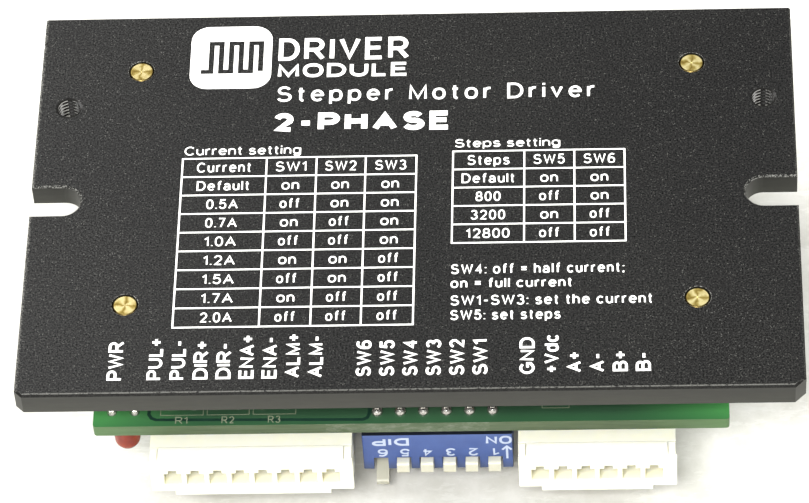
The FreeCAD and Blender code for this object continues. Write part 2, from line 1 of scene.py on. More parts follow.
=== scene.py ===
import bpy
import bmesh
import math
import random
from mathutils import Matrix, Vector
from mathutils.geometry import delaunay_2d_cdt


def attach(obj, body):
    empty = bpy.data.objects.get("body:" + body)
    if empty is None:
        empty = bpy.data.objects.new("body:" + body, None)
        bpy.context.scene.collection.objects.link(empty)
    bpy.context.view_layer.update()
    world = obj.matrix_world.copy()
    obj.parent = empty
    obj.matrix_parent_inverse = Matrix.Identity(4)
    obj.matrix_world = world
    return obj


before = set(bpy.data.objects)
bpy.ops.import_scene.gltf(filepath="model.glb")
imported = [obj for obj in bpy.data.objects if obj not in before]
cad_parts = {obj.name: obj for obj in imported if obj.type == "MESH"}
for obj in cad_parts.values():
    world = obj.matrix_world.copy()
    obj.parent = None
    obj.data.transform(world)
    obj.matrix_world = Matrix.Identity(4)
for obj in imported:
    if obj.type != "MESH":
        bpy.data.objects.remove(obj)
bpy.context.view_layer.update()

scene = bpy.context.scene
MM = 0.001
DY, DZ = 1.05, 20.0          # plate frame (origin on the plate's outer face) to row frame, mm


def loc(x, y, z=0.0):
    """plate-frame millimetres to row-frame metres"""
    return Vector((x * MM, (y + DY) * MM, (z + DZ) * MM))


# =====================================================================================
# node helpers
# =====================================================================================
class Mat:
    """a small wrapper that keeps node trees readable"""

    def __init__(self, name):
        self.m = bpy.data.materials.new(name)
        self.m.use_nodes = True
        self.t = self.m.node_tree
        self.t.nodes.clear()
        self.out = self.t.nodes.new("ShaderNodeOutputMaterial")
        self.b = self.t.nodes.new("ShaderNodeBsdfPrincipled")
        self.t.links.new(self.b.outputs[0], self.out.inputs[0])
        tc = self.t.nodes.new("ShaderNodeTexCoord")
        mp = self.t.nodes.new("ShaderNodeMapping")
        mp.inputs["Scale"].default_value = (1000.0, 1000.0, 1000.0)
        self.t.links.new(tc.outputs["Object"], mp.inputs["Vector"])
        self.mm = mp.outputs[0]              # object position in millimetres
        self._geo = None

    def link(self, a, b):
        self.t.links.new(a, b)

    def set(self, **kw):
        for k, v in kw.items():
            self.b.inputs[k.replace("_", " ")].default_value = v
        return self

    @property
    def geo(self):
        if self._geo is None:
            self._geo = self.t.nodes.new("ShaderNodeNewGeometry")
        return self._geo

    def math(self, op, a, b=None, c=None, clamp=False):
        n = self.t.nodes.new("ShaderNodeMath")
        n.operation = op
        n.use_clamp = clamp
        for i, v in enumerate((a, b, c)):
            if v is None:
                continue
            if isinstance(v, (int, float)):
                n.inputs[i].default_value = v
            else:
                self.link(v, n.inputs[i])
        return n.outputs[0]

    def xyz(self, vec=None):
        n = self.t.nodes.new("ShaderNodeSeparateXYZ")
        self.link(vec if vec is not None else self.mm, n.inputs[0])
        return n.outputs

    def combine(self, x, y, z):
        n = self.t.nodes.new("ShaderNodeCombineXYZ")
        for i, v in enumerate((x, y, z)):
            if isinstance(v, (int, float)):
                n.inputs[i].default_value = v
            else:
                self.link(v, n.inputs[i])
        return n.outputs[0]

    def scale(self, s, vec=None, rot=(0, 0, 0)):
        n = self.t.nodes.new("ShaderNodeMapping")
        n.inputs["Scale"].default_value = s
        n.inputs["Rotation"].default_value = rot
        self.link(vec if vec is not None else self.mm, n.inputs["Vector"])
        return n.outputs[0]

    def noise(self, s, detail=2.0, rough=0.5, vec=None, dist=0.0):
        n = self.t.nodes.new("ShaderNodeTexNoise")
        n.inputs["Scale"].default_value = s
        n.inputs["Detail"].default_value = detail
        n.inputs["Roughness"].default_value = rough
        n.inputs["Distortion"].default_value = dist
        self.link(vec if vec is not None else self.mm, n.inputs["Vector"])
        return n.outputs["Fac"]

    def voronoi(self, s, vec=None, out="Distance", feature="F1", rnd=1.0):
        n = self.t.nodes.new("ShaderNodeTexVoronoi")
        n.feature = feature
        n.inputs["Scale"].default_value = s
        n.inputs["Randomness"].default_value = rnd
        self.link(vec if vec is not None else self.mm, n.inputs["Vector"])
        return n.outputs[out]

    def ramp(self, fac, stops, interp="LINEAR"):
        n = self.t.nodes.new("ShaderNodeValToRGB")
        n.color_ramp.interpolation = interp
        e = n.color_ramp.elements
        while len(e) < len(stops):
            e.new(0.5)
        for k, (p, c) in enumerate(stops):
            e[k].position = p
            e[k].color = c if len(c) == 4 else (*c, 1.0)
        self.link(fac, n.inputs[0])
        return n.outputs[0]

    def mix(self, fac, a, b, kind="MIX"):
        n = self.t.nodes.new("ShaderNodeMix")
        n.data_type = "RGBA"
        n.blend_type = kind
        n.clamp_result = False
        for s, v in (("Factor", fac), ("A", a), ("B", b)):
            sock = [q for q in n.inputs if q.name == s and q.enabled and (q.type == ("VALUE" if s == "Factor" else "RGBA"))][0]
            if isinstance(v, (int, float)):
                sock.default_value = v
            elif isinstance(v, tuple):
                sock.default_value = v if len(v) == 4 else (*v, 1.0)
            else:
                self.link(v, sock)
        return [q for q in n.outputs if q.type == "RGBA"][0]

    def mixf(self, fac, a, b):
        n = self.t.nodes.new("ShaderNodeMix")
        n.data_type = "FLOAT"
        for s, v in (("Factor", fac), ("A", a), ("B", b)):
            sock = [q for q in n.inputs if q.name == s and q.type == "VALUE"][0]
            if isinstance(v, (int, float)):
                sock.default_value = v
            else:
                self.link(v, sock)
        return [q for q in n.outputs if q.type == "VALUE"][0]

    def bump(self, height, strength=0.3, dist=0.02, normal=None):
        n = self.t.nodes.new("ShaderNodeBump")
        n.inputs["Strength"].default_value = strength
        n.inputs["Distance"].default_value = dist * MM
        self.link(height, n.inputs["Height"])
        if normal is not None:
            self.link(normal, n.inputs["Normal"])
        return n.outputs[0]

    def color(self, v):
        self.link(v, self.b.inputs["Base Color"]) if not isinstance(v, tuple) else self.b.inputs["Base Color"].default_value.__setitem__(slice(0, 4), (*v, 1.0) if len(v) == 3 else v)

    def rough(self, v):
        self.link(v, self.b.inputs["Roughness"])

    def normal(self, v):
        self.link(v, self.b.inputs["Normal"])

    def nz(self):
        """absolute vertical part of the surface's own normal"""
        return self.math("ABSOLUTE", self.xyz(self.geo.outputs["Normal"])[2])


# =====================================================================================
# materials
# =====================================================================================
def anodised_plate():
    m = Mat("plate_anodised")
    x, y, z = m.xyz()
    n = m.xyz(m.geo.outputs["Normal"])
    up = m.math("ABSOLUTE", n[2])
    tap2 = m.math("ADD", m.math("POWER", m.math("SUBTRACT", m.math("ABSOLUTE", x), 39.5), 2.0), m.math("POWER", m.math("SUBTRACT", y, 14.75), 2.0))
    sink = m.math("MULTIPLY", m.math("LESS_THAN", tap2, 2.20), m.math("GREATER_THAN", up, 0.93))
    flat = m.math("SUBTRACT", m.math("GREATER_THAN", up, 0.93), sink)
    notflat = m.math("SUBTRACT", 1.0, flat)
    # slow brightness drift, then the blasted grain
    drift = m.noise(0.035, 2.0, 0.5)
    grain = m.noise(5.0, 2.0, 0.70)
    grain2 = m.noise(9.0, 1.0, 0.5)
    basec = m.ramp(drift, [(0.35, (0.0055, 0.0055, 0.0056)), (0.65, (0.0072, 0.0072, 0.0071))])
    grit = m.ramp(grain, [(0.34, (0.35, 0.35, 0.35)), (0.50, (0.90, 0.90, 0.90)), (0.61, (1.9, 1.9, 1.85)), (0.72, (3.8, 3.8, 3.6))])
    col = m.mix(1.0, basec, grit, "MULTIPLY")
    # specks where the blasting shows metal, in loose clusters
    cells = m.voronoi(3.4, out="Distance")
    pick = m.noise(0.9, 3.0, 0.7)
    spot = m.math("MULTIPLY", m.math("LESS_THAN", cells, 0.17), m.math("GREATER_THAN", pick, 0.52))
    spot2 = m.math("MULTIPLY", m.math("LESS_THAN", m.voronoi(5.2), 0.18), m.math("GREATER_THAN", grain2, 0.55))
    specks = m.math("MULTIPLY", m.math("MAXIMUM", m.math("MULTIPLY", spot, 0.42), m.math("MULTIPLY", spot2, 0.26)), flat)
    col = m.mix(specks, col, (0.22, 0.22, 0.205))
    # sides are smooth sawn metal
    side = m.ramp(m.noise(0.5, 3.0, 0.6, vec=m.scale((1.0, 1.0, 6.0))), [(0.3, (0.0165, 0.0168, 0.0136)), (0.7, (0.0220, 0.0223, 0.0182))])
    # painted shade: the sawn sides are painted darker near the top edge and lighter towards the bottom
    painted_height_gradient = m.math("MULTIPLY", m.math("SUBTRACT", 19.8, z), 0.34, None, True)
    side = m.mix(1.0, side, m.mix(painted_height_gradient, (0.70, 0.70, 0.70), (1.25, 1.25, 1.22)), "MULTIPLY")
    # painted shade: the tapped bore, its countersink included, is painted near black; painted highlight: thread crests
    # facing +x, and some facing -x, are painted light
    bore = m.math("LESS_THAN", tap2, 4.2)
    bore = m.math("MULTIPLY", bore, notflat)
    crest = m.math("MULTIPLY", bore, m.math("LESS_THAN", up, 0.75))
    painted_highlight = m.math("MULTIPLY", crest, m.math("GREATER_THAN", n[0], 0.20))
    painted_highlight_2 = m.math("MULTIPLY", crest, m.math("MULTIPLY", m.math("LESS_THAN", n[0], -0.25), m.math("GREATER_THAN", n[0], -0.70)))
    side = m.mix(bore, side, (0.009, 0.009, 0.0085))
    side = m.mix(painted_highlight, side, (0.42, 0.41, 0.39))
    side = m.mix(m.math("MULTIPLY", painted_highlight_2, m.math("GREATER_THAN", grain, 0.47)), side, (0.22, 0.22, 0.21))
    # painted shade and wear: the eased edges are painted dark as shade and carry bright nibs of worn metal, most at the
    # left end; along the slots and around the stud holes the nibs are denser, a painted highlight where the chamfers
    # catch the light
    edge = m.math("MULTIPLY", m.math("GREATER_THAN", up, 0.25), m.math("LESS_THAN", up, 0.93))
    edge = m.math("MULTIPLY", edge, m.math("SUBTRACT", 1.0, bore))
    nib = m.math("GREATER_THAN", m.noise(6.5, 2.0, 0.75), 0.53)
    long_front = m.math("LESS_THAN", y, -26.0)
    slotzone = m.math("MULTIPLY", m.math("GREATER_THAN", m.math("ABSOLUTE", x), 37.0), m.math("LESS_THAN", m.math("ABSOLUTE", m.math("SUBTRACT", y, 0.94)), 2.7))
    worn = m.mixf(m.math("LESS_THAN", x, -42.0), 0.14, 0.50)
    worn = m.mixf(slotzone, worn, 0.42)
    worn = m.mixf(long_front, worn, 0.03)
    nearx = m.math("LESS_THAN", m.math("ABSOLUTE", m.math("SUBTRACT", m.math("ABSOLUTE", x), 31.5)), 1.75)
    neary = m.math("MAXIMUM", m.math("LESS_THAN", m.math("ABSOLUTE", m.math("SUBTRACT", y, 20.20)), 1.75), m.math("LESS_THAN", m.math("ABSOLUTE", m.math("ADD", y, 14.15)), 1.75))
    worn = m.mixf(m.math("MULTIPLY", nearx, neary), worn, 0.62)
    edge_wear_and_painted_light = m.mix(m.math("MULTIPLY", nib, worn), (0.006, 0.006, 0.0055), (0.34, 0.34, 0.32))
    body = m.mix(flat, side, col)
    body = m.mix(edge, body, edge_wear_and_painted_light)
    # worn line just inside the top front edge, and along the left end
    n_w = m.noise(2.2, 4.0, 0.8)
    band = m.math("LESS_THAN", m.math("ABSOLUTE", m.math("ADD", y, 26.44)), 0.10)
    ends = m.math("MULTIPLY", m.math("LESS_THAN", x, -42.62), m.math("GREATER_THAN", n_w, 0.53))
    wear = m.math("MAXIMUM", m.math("MULTIPLY", band, m.math("GREATER_THAN", n_w, 0.45)), m.math("MULTIPLY", ends, 0.7))
    wear = m.math("MULTIPLY", m.math("MULTIPLY", wear, flat), m.math("GREATER_THAN", z, 19.0))
    body = m.mix(m.math("MULTIPLY", wear, 0.36), body, (0.20, 0.20, 0.185))
    m.color(body)
    m.rough(m.mixf(bore, m.mixf(flat, 0.46, m.math("ADD", 0.38, m.math("MULTIPLY", grain, 0.18))), 0.24))
    # painted sheen: the specular level falls slowly from the left end towards the middle
    painted_sheen_fade = m.math("SUBTRACT", 1.0, m.math("MULTIPLY", m.math("MULTIPLY", m.math("ADD", x, 34.0), 0.042, None, True), 0.20))
    m.link(m.mixf(m.math("MAXIMUM", sink, m.math("MULTIPLY", edge, m.math("GREATER_THAN", z, 19.0))), m.mixf(flat, m.mixf(bore, 0.42, 0.20), m.math("MULTIPLY", m.math("MULTIPLY", m.math("SUBTRACT", grain, 0.27), 0.80, None, True), painted_sheen_fade)), 0.06), m.b.inputs["Specular IOR Level"])
    h = m.math("MULTIPLY", m.math("ADD", grain, m.math("MULTIPLY", grain2, 0.8)), m.mixf(flat, 0.05, 1.0))
    m.normal(m.bump(h, 0.46, 0.020))
    m.set(IOR=1.50)
    return m.m


def turned_brass():
    m = Mat("brass_turned")
    x, y, z = m.xyz()
    px = m.math("SUBTRACT", m.math("ABSOLUTE", x), 31.5)
    back = m.math("GREATER_THAN", y, 3.0)
    py = m.math("SUBTRACT", y, m.mixf(back, -14.15, 20.20))
    r = m.math("SQRT", m.math("ADD", m.math("MULTIPLY", px, px), m.math("MULTIPLY", py, py)))
    rings = m.math("SINE", m.math("MULTIPLY", r, 30.0))
    tone = m.ramp(m.noise(0.9, 3.0, 0.6), [(0.3, (0.60, 0.44, 0.14)), (0.7, (0.76, 0.60, 0.24))])
    # painted reflection: four soft bright lobes with darker arms between them, as light reflects from the turning
    # marks, waving a little with the radius
    sgn = m.math("MULTIPLY", m.math("SIGN", x), 0.10)
    ang = m.math("ADD", m.math("ARCTAN2", py, px), m.math("ADD", sgn, m.math("MULTIPLY", m.math("SUBTRACT", m.noise(1.3, 1.0, 0.5), 0.5), 1.3)))
    painted_reflection_lobes = m.math("ABSOLUTE", m.math("SINE", m.math("MULTIPLY", ang, 2.0)))
    top = m.math("GREATER_THAN", z, 19.7)
    face = m.math("MULTIPLY", top, m.math("LESS_THAN", r, 1.235))
    streak = m.noise(5.0, 2.0, 0.6, vec=m.combine(m.math("MULTIPLY", r, 4.0), 0.0, 0.0))
    patch = m.noise(1.1, 2.0, 0.6)
    painted_highlight = m.math("ADD", m.math("MULTIPLY", painted_reflection_lobes, m.math("ADD", 0.45, m.math("MULTIPLY", streak, 0.45))), m.math("MULTIPLY", m.math("SUBTRACT", patch, 0.4), 0.75), None, True)
    painted_reflection_face = m.ramp(painted_highlight, [(0.05, (0.24, 0.17, 0.040)), (0.40, (0.45, 0.355, 0.110)), (0.75, (0.76, 0.67, 0.34))])
    # painted reflection: the chamfered rim is painted dark at its sides and bright at front and back, where it catches
    # light
    flank = m.math("GREATER_THAN", m.math("ADD", py, m.math("MULTIPLY", m.math("SUBTRACT", patch, 0.5), 1.2)), -1.02)
    painted_rim_reflection = m.mix(flank, (0.19, 0.14, 0.048), (0.050, 0.034, 0.012))
    rim = m.math("MULTIPLY", top, m.math("GREATER_THAN", r, 1.235))
    out = m.mix(face, tone, painted_reflection_face)
    # painted shade: the studs on the left are painted darker
    left = m.math("LESS_THAN", x, 0.0)
    out = m.mix(left, out, m.mix(1.0, out, (0.68, 0.66, 0.66), "MULTIPLY"))
    m.color(m.mix(rim, out, painted_rim_reflection))
    m.rough(m.mixf(face, 0.30, m.math("ADD", 0.36, m.math("MULTIPLY", streak, 0.14))))
    m.normal(m.bump(rings, 0.12, 0.008))
    m.set(Metallic=1.0)
    return m.m


def plated_steel(name, tone=(0.60, 0.60, 0.58), rough=0.30, scratch=6.0):
    m = Mat(name)
    n1 = m.noise(scratch, 3.0, 0.6, vec=m.scale((1.0, 4.0, 1.0)))
    n2 = m.noise(0.6, 3.0, 0.6)
    lo = tuple(c * 0.78 for c in tone)
    m.color(m.ramp(n2, [(0.3, lo), (0.7, tone)]))
    m.rough(m.math("ADD", rough, m.math("MULTIPLY", m.math("SUBTRACT", n1, 0.5), 0.22)))
    m.normal(m.bump(n1, 0.12, 0.010))
    m.set(Metallic=1.0)
    return m.m


def solder_metal():
    m = Mat("solder_bright")
    n1 = m.noise(2.4, 3.0, 0.6)
    n2 = m.noise(7.0, 2.0, 0.5)
    m.color(m.ramp(n1, [(0.3, (0.40, 0.38, 0.36)), (0.7, (0.68, 0.66, 0.62))]))
    m.rough(m.math("ADD", 0.11, m.math("MULTIPLY", n2, 0.20)))
    m.normal(m.bump(n1, 0.45, 0.03))
    m.set(Metallic=0.95)
    return m.m


def board_green():
    m = Mat("board_mask")
    x, y, z = m.xyz()
    up = m.nz()
    face = m.math("GREATER_THAN", up, 0.5)
    blot = m.noise(0.10, 2.0, 0.5)
    weave = m.noise(1.0, 1.0, 0.5, vec=m.scale((2.6, 2.6, 0.2)))
    mask = m.ramp(blot, [(0.35, (0.025, 0.066, 0.034)), (0.68, (0.035, 0.090, 0.045))])
    mask = m.mix(m.math("MULTIPLY", weave, 0.14), mask, (0.026, 0.095, 0.050))
    # painted light: the mask is painted brighter towards the board's cut ends, where light spreads inside the laminate
    ends = m.math("MULTIPLY", m.math("MAXIMUM", m.math("SUBTRACT", m.math("ABSOLUTE", m.math("ADD", x, 0.2)), 22.0), 0.0), 0.079, None, True)
    ends = m.math("POWER", ends, 1.6)
    mask = m.mix(m.math("MULTIPLY", ends, 0.85), mask, (0.080, 0.345, 0.092))
    # painted light: the mask is painted lighter towards the board's front edge, past the plate's shadow
    painted_front_light = m.math("MULTIPLY", m.math("MULTIPLY", m.math("SUBTRACT", -23.5, y), 0.72, None, True), 0.50)
    mask = m.mix(painted_front_light, mask, (0.034, 0.130, 0.050))
    # routed edge: resin and glass bundles in layers, with torn pale fibres where the break-off tab was
    layers = m.noise(1.0, 3.0, 0.6, vec=m.scale((0.22, 0.22, 4.5)))
    fr4 = m.ramp(layers, [(0.30, (0.042, 0.072, 0.030)), (0.55, (0.064, 0.096, 0.047)), (0.75, (0.092, 0.120, 0.069))])
    torn = m.noise(1.0, 4.0, 0.75, vec=m.scale((0.9, 0.9, 2.6)))
    tab = m.math("MULTIPLY", m.math("LESS_THAN", m.math("ABSOLUTE", m.math("ADD", x, 0.5)), 9.0), m.math("MULTIPLY", m.math("SUBTRACT", torn, 0.46), 5.0, None, True))
    fr4 = m.mix(m.math("MULTIPLY", tab, 0.45), fr4, (0.215, 0.235, 0.19))
    # painted light: the routed edge is also painted brighter towards the ends
    fr4 = m.mix(m.math("MULTIPLY", ends, 0.45), fr4, (0.085, 0.215, 0.060))
    m.color(m.mix(face, fr4, mask))
    m.rough(m.mixf(face, 0.62, m.math("ADD", 0.30, m.math("MULTIPLY", weave, 0.12))))
    m.normal(m.bump(m.mixf(face, torn, weave), 0.20, 0.03))
    m.b.inputs["Coat Weight"].default_value = 0.12
    m.b.inputs["Coat Roughness"].default_value = 0.20
    return m.m


def nylon(name="nylon_natural", tint=(0.80, 0.785, 0.655), ports=True):
    m = Mat(name)
    n1 = m.noise(0.35, 3.0, 0.55)
    n2 = m.noise(7.0, 2.0, 0.5)
    lo = tuple(c * 0.955 for c in tint)
    col = m.ramp(n1, [(0.3, lo), (0.7, tint)])
    if ports:
        x, y, z = m.xyz()
        # painted shade: the insides of the connector ports are painted darker
        painted_port_shade = m.math("MULTIPLY", m.math("GREATER_THAN", y, -28.48), m.math("LESS_THAN", m.math("ABSOLUTE", m.math("SUBTRACT", z, 7.325)), 1.27))
        sig = m.math("LESS_THAN", m.math("ABSOLUTE", m.math("ADD", x, 17.80)), 9.9)
        pwr = m.math("LESS_THAN", m.math("ABSOLUTE", m.math("SUBTRACT", x, 20.23)), 7.4)
        painted_port_shade = m.math("MULTIPLY", painted_port_shade, m.math("MAXIMUM", sig, pwr))
        col = m.mix(painted_port_shade, col, (0.77, 0.755, 0.615))
    m.color(col)
    m.rough(m.math("ADD", 0.36, m.math("MULTIPLY", n2, 0.12)))
    m.normal(m.bump(n2, 0.10, 0.02))
    m.set(IOR=1.53)
    m.b.inputs["Subsurface Weight"].default_value = 0.55
    m.b.inputs["Subsurface Radius"].default_value = (1.0, 0.92, 0.66)
    m.b.inputs["Subsurface Scale"].default_value = 0.0016
    return m.m


def key_plastic(name, shade):
    m = Mat(name)
    x, y, z = m.xyz()
    nrm = m.xyz(m.geo.outputs["Normal"])
    n1 = m.noise(0.6, 3.0, 0.55)
    n2 = m.noise(7.0, 2.0, 0.5)
    col = m.ramp(n1, [(0.3, (0.465, 0.455, 0.368)), (0.7, (0.500, 0.490, 0.398))])
    # painted light: faces turned upward are painted lighter
    painted_upward_light = m.math("GREATER_THAN", nrm[2], 0.35)
    col = m.mix(m.math("MULTIPLY", painted_upward_light, 1.0 - shade), col, (0.66, 0.65, 0.54))
    # painted shade: the off key is painted darker towards its root
    painted_root_shade = m.math("MULTIPLY", m.math("MULTIPLY", m.math("SUBTRACT", z, 2.1), 0.40, None, True), 0.74 * shade)
    col = m.mix(painted_root_shade, col, (0.17, 0.165, 0.125))
    # painted shade: the off key is a darker copy overall
    col = m.mix(0.16 * shade, col, (0.30, 0.30, 0.25))
    m.color(col)
    m.rough(m.math("ADD", 0.38, m.math("MULTIPLY", n2, 0.12)))
    m.normal(m.bump(n2, 0.10, 0.02))
    m.b.inputs["Subsurface Weight"].default_value = 0.40
    m.b.inputs["Subsurface Radius"].default_value = (1.0, 0.92, 0.66)
    m.b.inputs["Subsurface Scale"].default_value = 0.0008
    return m.m


def moulded(name, lo, hi, rough=0.42, spec=0.5, grain=6.0, strength=0.12):
    m = Mat(name)
    n1 = m.noise(0.45, 3.0, 0.55)
    n2 = m.noise(grain, 2.0, 0.5)
    m.color(m.ramp(n1, [(0.3, lo), (0.7, hi)]))
    m.rough(m.math("ADD", rough - 0.06, m.math("MULTIPLY", n2, 0.14)))
    m.normal(m.bump(n2, strength, 0.02))
    m.b.inputs["Specular IOR Level"].default_value = spec
    return m.m


def switch_body():
    m = Mat("switch_blue")
    x, y, z = m.xyz()
    n1 = m.noise(0.45, 3.0, 0.55)
    n2 = m.noise(6.0, 2.0, 0.5)
    body = m.ramp(n1, [(0.3, (0.034, 0.069, 0.232)), (0.7, (0.043, 0.086, 0.268))])
    # painted shade: the face is painted darker and greyer along the lower lip
    painted_height_gradient = m.math("MULTIPLY", m.math("SUBTRACT", 5.1, z), 0.75, None, True)
    body = m.mix(m.math("MULTIPLY", painted_height_gradient, 0.60), body, (0.030, 0.042, 0.070))
    # painted light: the face is painted lighter near its top
    painted_top_light = m.math("MULTIPLY", m.math("SUBTRACT", z, 8.2), 0.70, None, True)
    body = m.mix(m.math("MULTIPLY", painted_top_light, 0.30), body, (0.070, 0.125, 0.340))
    # painted shadow: the side that faces the board is painted near black
    painted_roof_shadow = m.math("MULTIPLY", m.math("GREATER_THAN", m.xyz(m.geo.outputs["Normal"])[2], 0.6), m.math("GREATER_THAN", z, 9.2))
    body = m.mix(painted_roof_shadow, body, (0.006, 0.008, 0.015))
    m.color(body)
    m.rough(m.math("ADD", 0.40, m.math("MULTIPLY", n2, 0.14)))
    m.normal(m.bump(n2, 0.12, 0.02))
    return m.m


def red_lens():
    m = Mat("led_red_epoxy")
    n1 = m.noise(0.8, 2.0, 0.5)
    m.color(m.ramp(n1, [(0.3, (0.160, 0.013, 0.005)), (0.7, (0.262, 0.032, 0.010))]))
    m.set(Roughness=0.22, IOR=1.52)
    m.b.inputs["Subsurface Weight"].default_value = 0.45
    m.b.inputs["Subsurface Radius"].default_value = (1.0, 0.25, 0.15)
    m.b.inputs["Subsurface Scale"].default_value = 0.0010
    m.b.inputs["Specular IOR Level"].default_value = 0.28
    m.normal(m.bump(n1, 0.06, 0.03))
    return m.m


def drawn_can():
    m = Mat("capacitor_can_metal")
    x, y, z = m.xyz()
    n1 = m.noise(1.0, 3.0, 0.6, vec=m.scale((0.6, 0.6, 9.0)))
    n2 = m.noise(1.4, 3.0, 0.6)
    base = m.ramp(n2, [(0.3, (0.62, 0.62, 0.61)), (0.7, (0.78, 0.78, 0.77))])
    # printed polarity band: a dark segment of the flat top
    top = m.math("LESS_THAN", z, 0.25)
    lx = m.math("SUBTRACT", m.math("ABSOLUTE", x), m.mixf(m.math("GREATER_THAN", y, 5.0), 24.0, 0.0))
    ly = m.math("SUBTRACT", y, m.mixf(m.math("GREATER_THAN", y, 5.0), -6.95, 18.05))
    rr = m.math("SQRT", m.math("ADD", m.math("MULTIPLY", lx, lx), m.math("MULTIPLY", ly, ly)))
    band = m.math("MULTIPLY", m.math("MULTIPLY", m.math("GREATER_THAN", ly, 1.75), m.math("LESS_THAN", rr, 3.45)), top)
    m.color(m.mix(band, base, (0.03, 0.03, 0.035)))
    m.link(m.mixf(band, 1.0, 0.0), m.b.inputs["Metallic"])
    m.rough(m.math("ADD", 0.30, m.math("MULTIPLY", n1, 0.16)))
    m.normal(m.bump(n1, 0.10, 0.02))
    return m.m


def ceramic_tan():
    m = Mat("ceramic_tan")
    n1 = m.noise(3.0, 3.0, 0.6)
    m.color(m.ramp(n1, [(0.3, (0.33, 0.22, 0.12)), (0.7, (0.46, 0.33, 0.19))]))
    m.rough(m.math("ADD", 0.40, m.math("MULTIPLY", n1, 0.2)))
    m.normal(m.bump(n1, 0.15, 0.02))
    return m.m


def pad_silicone():
    m = Mat("silicone_pad")
    n1 = m.noise(2.5, 3.0, 0.6)
    m.color(m.ramp(n1, [(0.3, (0.20, 0.24, 0.28)), (0.7, (0.29, 0.33, 0.37))]))
    m.rough(m.math("ADD", 0.62, m.math("MULTIPLY", n1, 0.2)))
    m.normal(m.bump(n1, 0.3, 0.04))
    return m.m


def white_ink(name="print_ink", tone=(0.86, 0.86, 0.84), worn=0.70):
    m = Mat(name)
    n1 = m.noise(5.0, 3.0, 0.65)
    n2 = m.noise(0.4, 2.0, 0.5)
    lo = tuple(c * worn for c in tone)
    m.color(m.ramp(n1, [(0.22, lo), (0.42, tone)]))
    m.rough(m.math("ADD", 0.50, m.math("MULTIPLY", n2, 0.15)))
    m.normal(m.bump(n1, 0.20, 0.02))
    m.set(IOR=1.48)
    return m.m


M = {
    "plate": anodised_plate(),
    "brass": turned_brass(),
    "steel": plated_steel("screw_zinc", (0.62, 0.62, 0.60), 0.32),
    "tin": plated_steel("pin_tinned", (0.78, 0.77, 0.74), 0.24, 9.0),
    # painted shade: the switch pins use a darker copy of the tinned finish
    "dip_tin_painted_shade": plated_steel("switch_pin_tinned_painted_shade", (0.36, 0.35, 0.33), 0.36, 9.0),
    "gold": plated_steel("contact_gold", (0.83, 0.63, 0.26), 0.22, 9.0),
    "solder": solder_metal(),
    "board": board_green(),
    "nylon": nylon(),
    "key": key_plastic("key_plastic", 0.0),
    "key6": key_plastic("key_plastic_off_painted_shade", 1.0),
    "blue": switch_body(),
    "black": moulded("moulded_black", (0.012, 0.012, 0.013), (0.022, 0.022, 0.023), 0.5),
    "chip": moulded("chip_compound", (0.014, 0.014, 0.015), (0.028, 0.028, 0.029), 0.58, 0.4, 8.0, 0.25),
    "opto": moulded("optocoupler_body", (0.66, 0.66, 0.61), (0.76, 0.76, 0.71), 0.5),
    "ferrite": moulded("ferrite_grey", (0.05, 0.05, 0.052), (0.085, 0.085, 0.087), 0.6, 0.4, 4.0, 0.35),
    "led": red_lens(),
    "can": drawn_can(),
    "crystal": plated_steel("crystal_nickel", (0.74, 0.74, 0.73), 0.20, 5.0),
    "ceramic": ceramic_tan(),
    "pad": pad_silicone(),
    "ink": white_ink(),
    "ink_blue": white_ink("switch_print", (0.44, 0.50, 0.63), 0.80),
    # painted shade: the board legend is a dim copy of the white ink
    "silk_in_painted_shade": white_ink("board_legend", (0.215, 0.245, 0.165), 0.60),
    "trace": None,
}
USE = {
    "heatsink_plate": "plate", "brass_standoffs": "brass", "board_screws": "steel", "circuit_board": "board", "solder_joints": "solder",
    "signal_header": "nylon", "power_header": "nylon", "signal_plug": "nylon", "power_plug": "nylon",
    "signal_header_pins": "tin", "power_header_pins": "tin", "dip_housing": "blue", "dip_base": "black", "dip_pins": "dip_tin_painted_shade", "dip_contacts": "gold",
    "led_lens": "led", "led_leads": "tin", "driver_chips": "chip", "driver_chip_leads": "tin", "thermal_pads": "pad",
    "chip_resistors": "chip", "chip_resistor_ends": "solder", "chip_capacitors": "ceramic", "chip_capacitor_ends": "solder",
    "controller_chip": "chip", "controller_leads": "tin", "optocouplers": "opto", "optocoupler_leads": "tin", "regulator_chip": "chip",
    "regulator_leads": "tin", "inductor_core": "ferrite", "inductor_terminals": "tin", "capacitor_cans": "can", "capacitor_bases": "black",
    "capacitor_terminals": "tin", "sense_resistors": "chip", "sense_resistor_ends": "solder", "diodes": "chip", "diode_leads": "tin",
    "crystal_can": "crystal", "crystal_base": "black",
}
for k in range(1, 7):
    USE["dip_key_%d" % k] = "key" if k < 6 else "key6"
for node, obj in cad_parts.items():
    mt = M[USE[node]]
    if not obj.data.materials:
        obj.data.materials.append(mt)
    for s in obj.material_slots:
        s.material = mt


# =====================================================================================
# printed legends: real thin meshes of ink
# =====================================================================================
def arc(cx, cy, rx, ry, a0, a1, n=9):
    return [(cx + rx * math.cos(math.radians(a0 + (a1 - a0) * k / n)), cy + ry * math.sin(math.radians(a0 + (a1 - a0) * k / n))) for k in range(n + 1)]


def ring_of(cx, cy, rx, ry, n=20):
    """closed oval, a little squarer than an ellipse"""
    pts = []
    for k in range(n):
        t = 2 * math.pi * k / n
        c, s_ = math.cos(t), math.sin(t)
        pts.append((cx + rx * math.copysign(abs(c) ** 0.88, c), cy + ry * math.copysign(abs(s_) ** 0.88, s_)))
    return ("o", pts)


